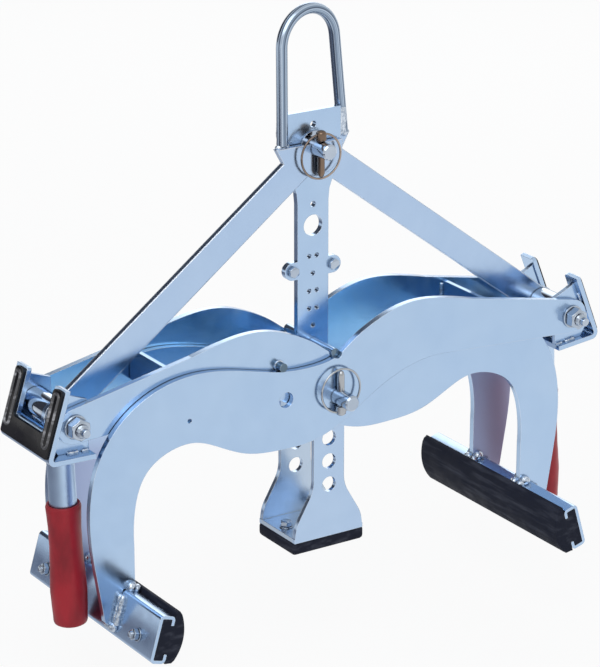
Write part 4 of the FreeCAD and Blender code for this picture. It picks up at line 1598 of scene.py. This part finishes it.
@dataclass
class Studio:
    """Floor, lights, world and the camera at the photograph's angle; the floor clears the closing jaws."""

    camera_at: Place = (-1.9142, -2.9257, 1.5736)
    aim: Place = (-0.0164, 0.0, 0.3165)
    lens: float = 162.1
    sensor: float = 36
    view_reach: float = 100
    floor_half: float = 30.0
    floor_height: float = -0.100
    floor_tone: Colour = (0.9, 0.9, 0.9, 1)
    floor_glow: float = 0.9
    fill_tone: Colour = (0.93, 0.96, 1, 1)
    fill: float = 0.55
    card_lift: float = 0.0003
    card_start: float = -0.04
    card_reach: float = 2.2
    card_way: Place = (-0.9, 0.436, 0)
    high_card_x: tuple[float, float] = (-4.0, 1.5)
    high_card_y: float = 2.4
    high_card_z: tuple[float, float] = (0.55, 3.6)
    high_card_way: Place = (-0.75, 0, 0.66)
    lamps: tuple[tuple[str, Place, float, float], ...] = (("key_softbox", (-1.1, -1.3, 2.4), 2.2, 24.0),
                                                          ("back_softbox", (1.9, 2.6, 1.9), 2.4, 22.0))
    lamp_aim: Place = (0, 0, 0.3)

    def build(self) -> None:
        """Builds the whole studio."""
        self.floor()
        self.world()
        self.cards()
        self.lights()
        self.camera()

    def floor(self) -> None:
        """Builds a plain pale floor that is white to the eye and keeps a soft shadow."""
        graph = Surface("floor_white")
        graph.finish(Base_Color=self.floor_tone, Roughness=1)
        pale = graph.shader.outputs[0]
        bright = graph.mix(self.floor_glow, pale, graph.node("ShaderNodeEmission").outputs[0])
        graph.show(graph.mix(graph.seen_rays(), pale, bright))
        half = self.floor_half
        corners = [(-half, -half, 0), (half, -half, 0), (half, half, 0), (-half, half, 0)]
        panel("studio_floor", corners, graph.material).location.z = self.floor_height

    def world(self) -> None:
        """Builds an even world that is white to the eye and a soft fill for the rest."""
        world = bpy.data.worlds.new("studio_world")
        bpy.context.scene.world = world
        world.use_nodes = True
        graph = Graph(world.node_tree)
        fill = graph.tree.nodes["Background"]
        graph.feed(fill, Color=self.fill_tone, Strength=self.fill)
        white = graph.node("ShaderNodeBackground", Strength=1)
        graph.show(graph.mix(graph.seen_rays(), fill.outputs[0], white.outputs[0]), "World Output")

    def cards(self) -> None:
        """Builds a dark card on the floor at the left and another high behind the left shoulder."""
        way = Vector(self.card_way)
        far, edge = way * self.card_reach, Vector((way.y, -way.x, 0)) * self.card_reach
        root = Vector((self.card_start, 0, self.floor_height + self.card_lift))
        low = (root - edge, root + edge, root + edge + far, root - edge + far)
        DarkCard("floor_card", tuple(tuple(point) for point in low), self.card_way, start=root.dot(way),
                 width=0.9, level=0.2).build()
        (x, far_x), y, (z, far_z) = self.high_card_x, self.high_card_y, self.high_card_z
        high = ((x, y, z), (far_x, y, z), (far_x, y, far_z), (x, y, far_z))
        DarkCard("high_card", high, self.high_card_way, start=0.45, width=0.7, level=0.06).build()

    def lights(self) -> None:
        """Builds a large soft key over the front and a broad light behind the right shoulder."""
        for name, place, size, power in self.lamps:
            data = bpy.data.lights.new(name, "AREA")
            data.size = size
            data.energy = power
            lamp = placed(name, data)
            lamp.location = place
            lamp.rotation_euler = aimed(place, self.lamp_aim)

    def camera(self) -> None:
        """Builds the camera."""
        data = bpy.data.cameras.new("photo_camera")
        data.lens = self.lens
        data.sensor_width = self.sensor
        data.clip_end = self.view_reach
        camera = placed("photo_camera", data)
        camera.location = self.camera_at
        camera.rotation_euler = aimed(self.camera_at, self.aim)
        bpy.context.scene.camera = camera


def main() -> None:
    """Builds and dresses the tongs in order, then the studio."""
    logging.basicConfig(level=logging.INFO, format="%(message)s")
    bpy.context.scene.view_settings.view_transform = "Standard"
    finishes = Finishes()
    dress_nodes(finishes)
    for side, body in ((Side.LEFT, "arm_a"), (Side.RIGHT, "arm_b")):
        Jaw(side, body, finishes).build()
        ArmWelds(body, side, finishes).build()
    for side, body in ((Side.LEFT, "left_handle"), (Side.RIGHT, "right_handle")):
        Handle(side, body, finishes).build()
    Axle("arm_a", x=0.362, front=-0.060, back=0.051, finishes=finishes).build()
    Axle("arm_b", x=-0.362, front=-0.051, back=0.060, finishes=finishes).build()
    LynchSet("pivot", "pivot", "pivot_ring", y=-0.067, z=0.250, up=-1, finish=finishes.steel,
             ring_finish=finishes.steel).build()
    LynchSet("top", "eye", "top_ring", y=-0.0215, z=0.556, up=1, finish=finishes.yellow,
             ring_finish=finishes.wire).build()
    LiftingEye(finishes).build()
    Foot(finishes).build()
    Studio().build()


if __name__ == "__main__":
    main()
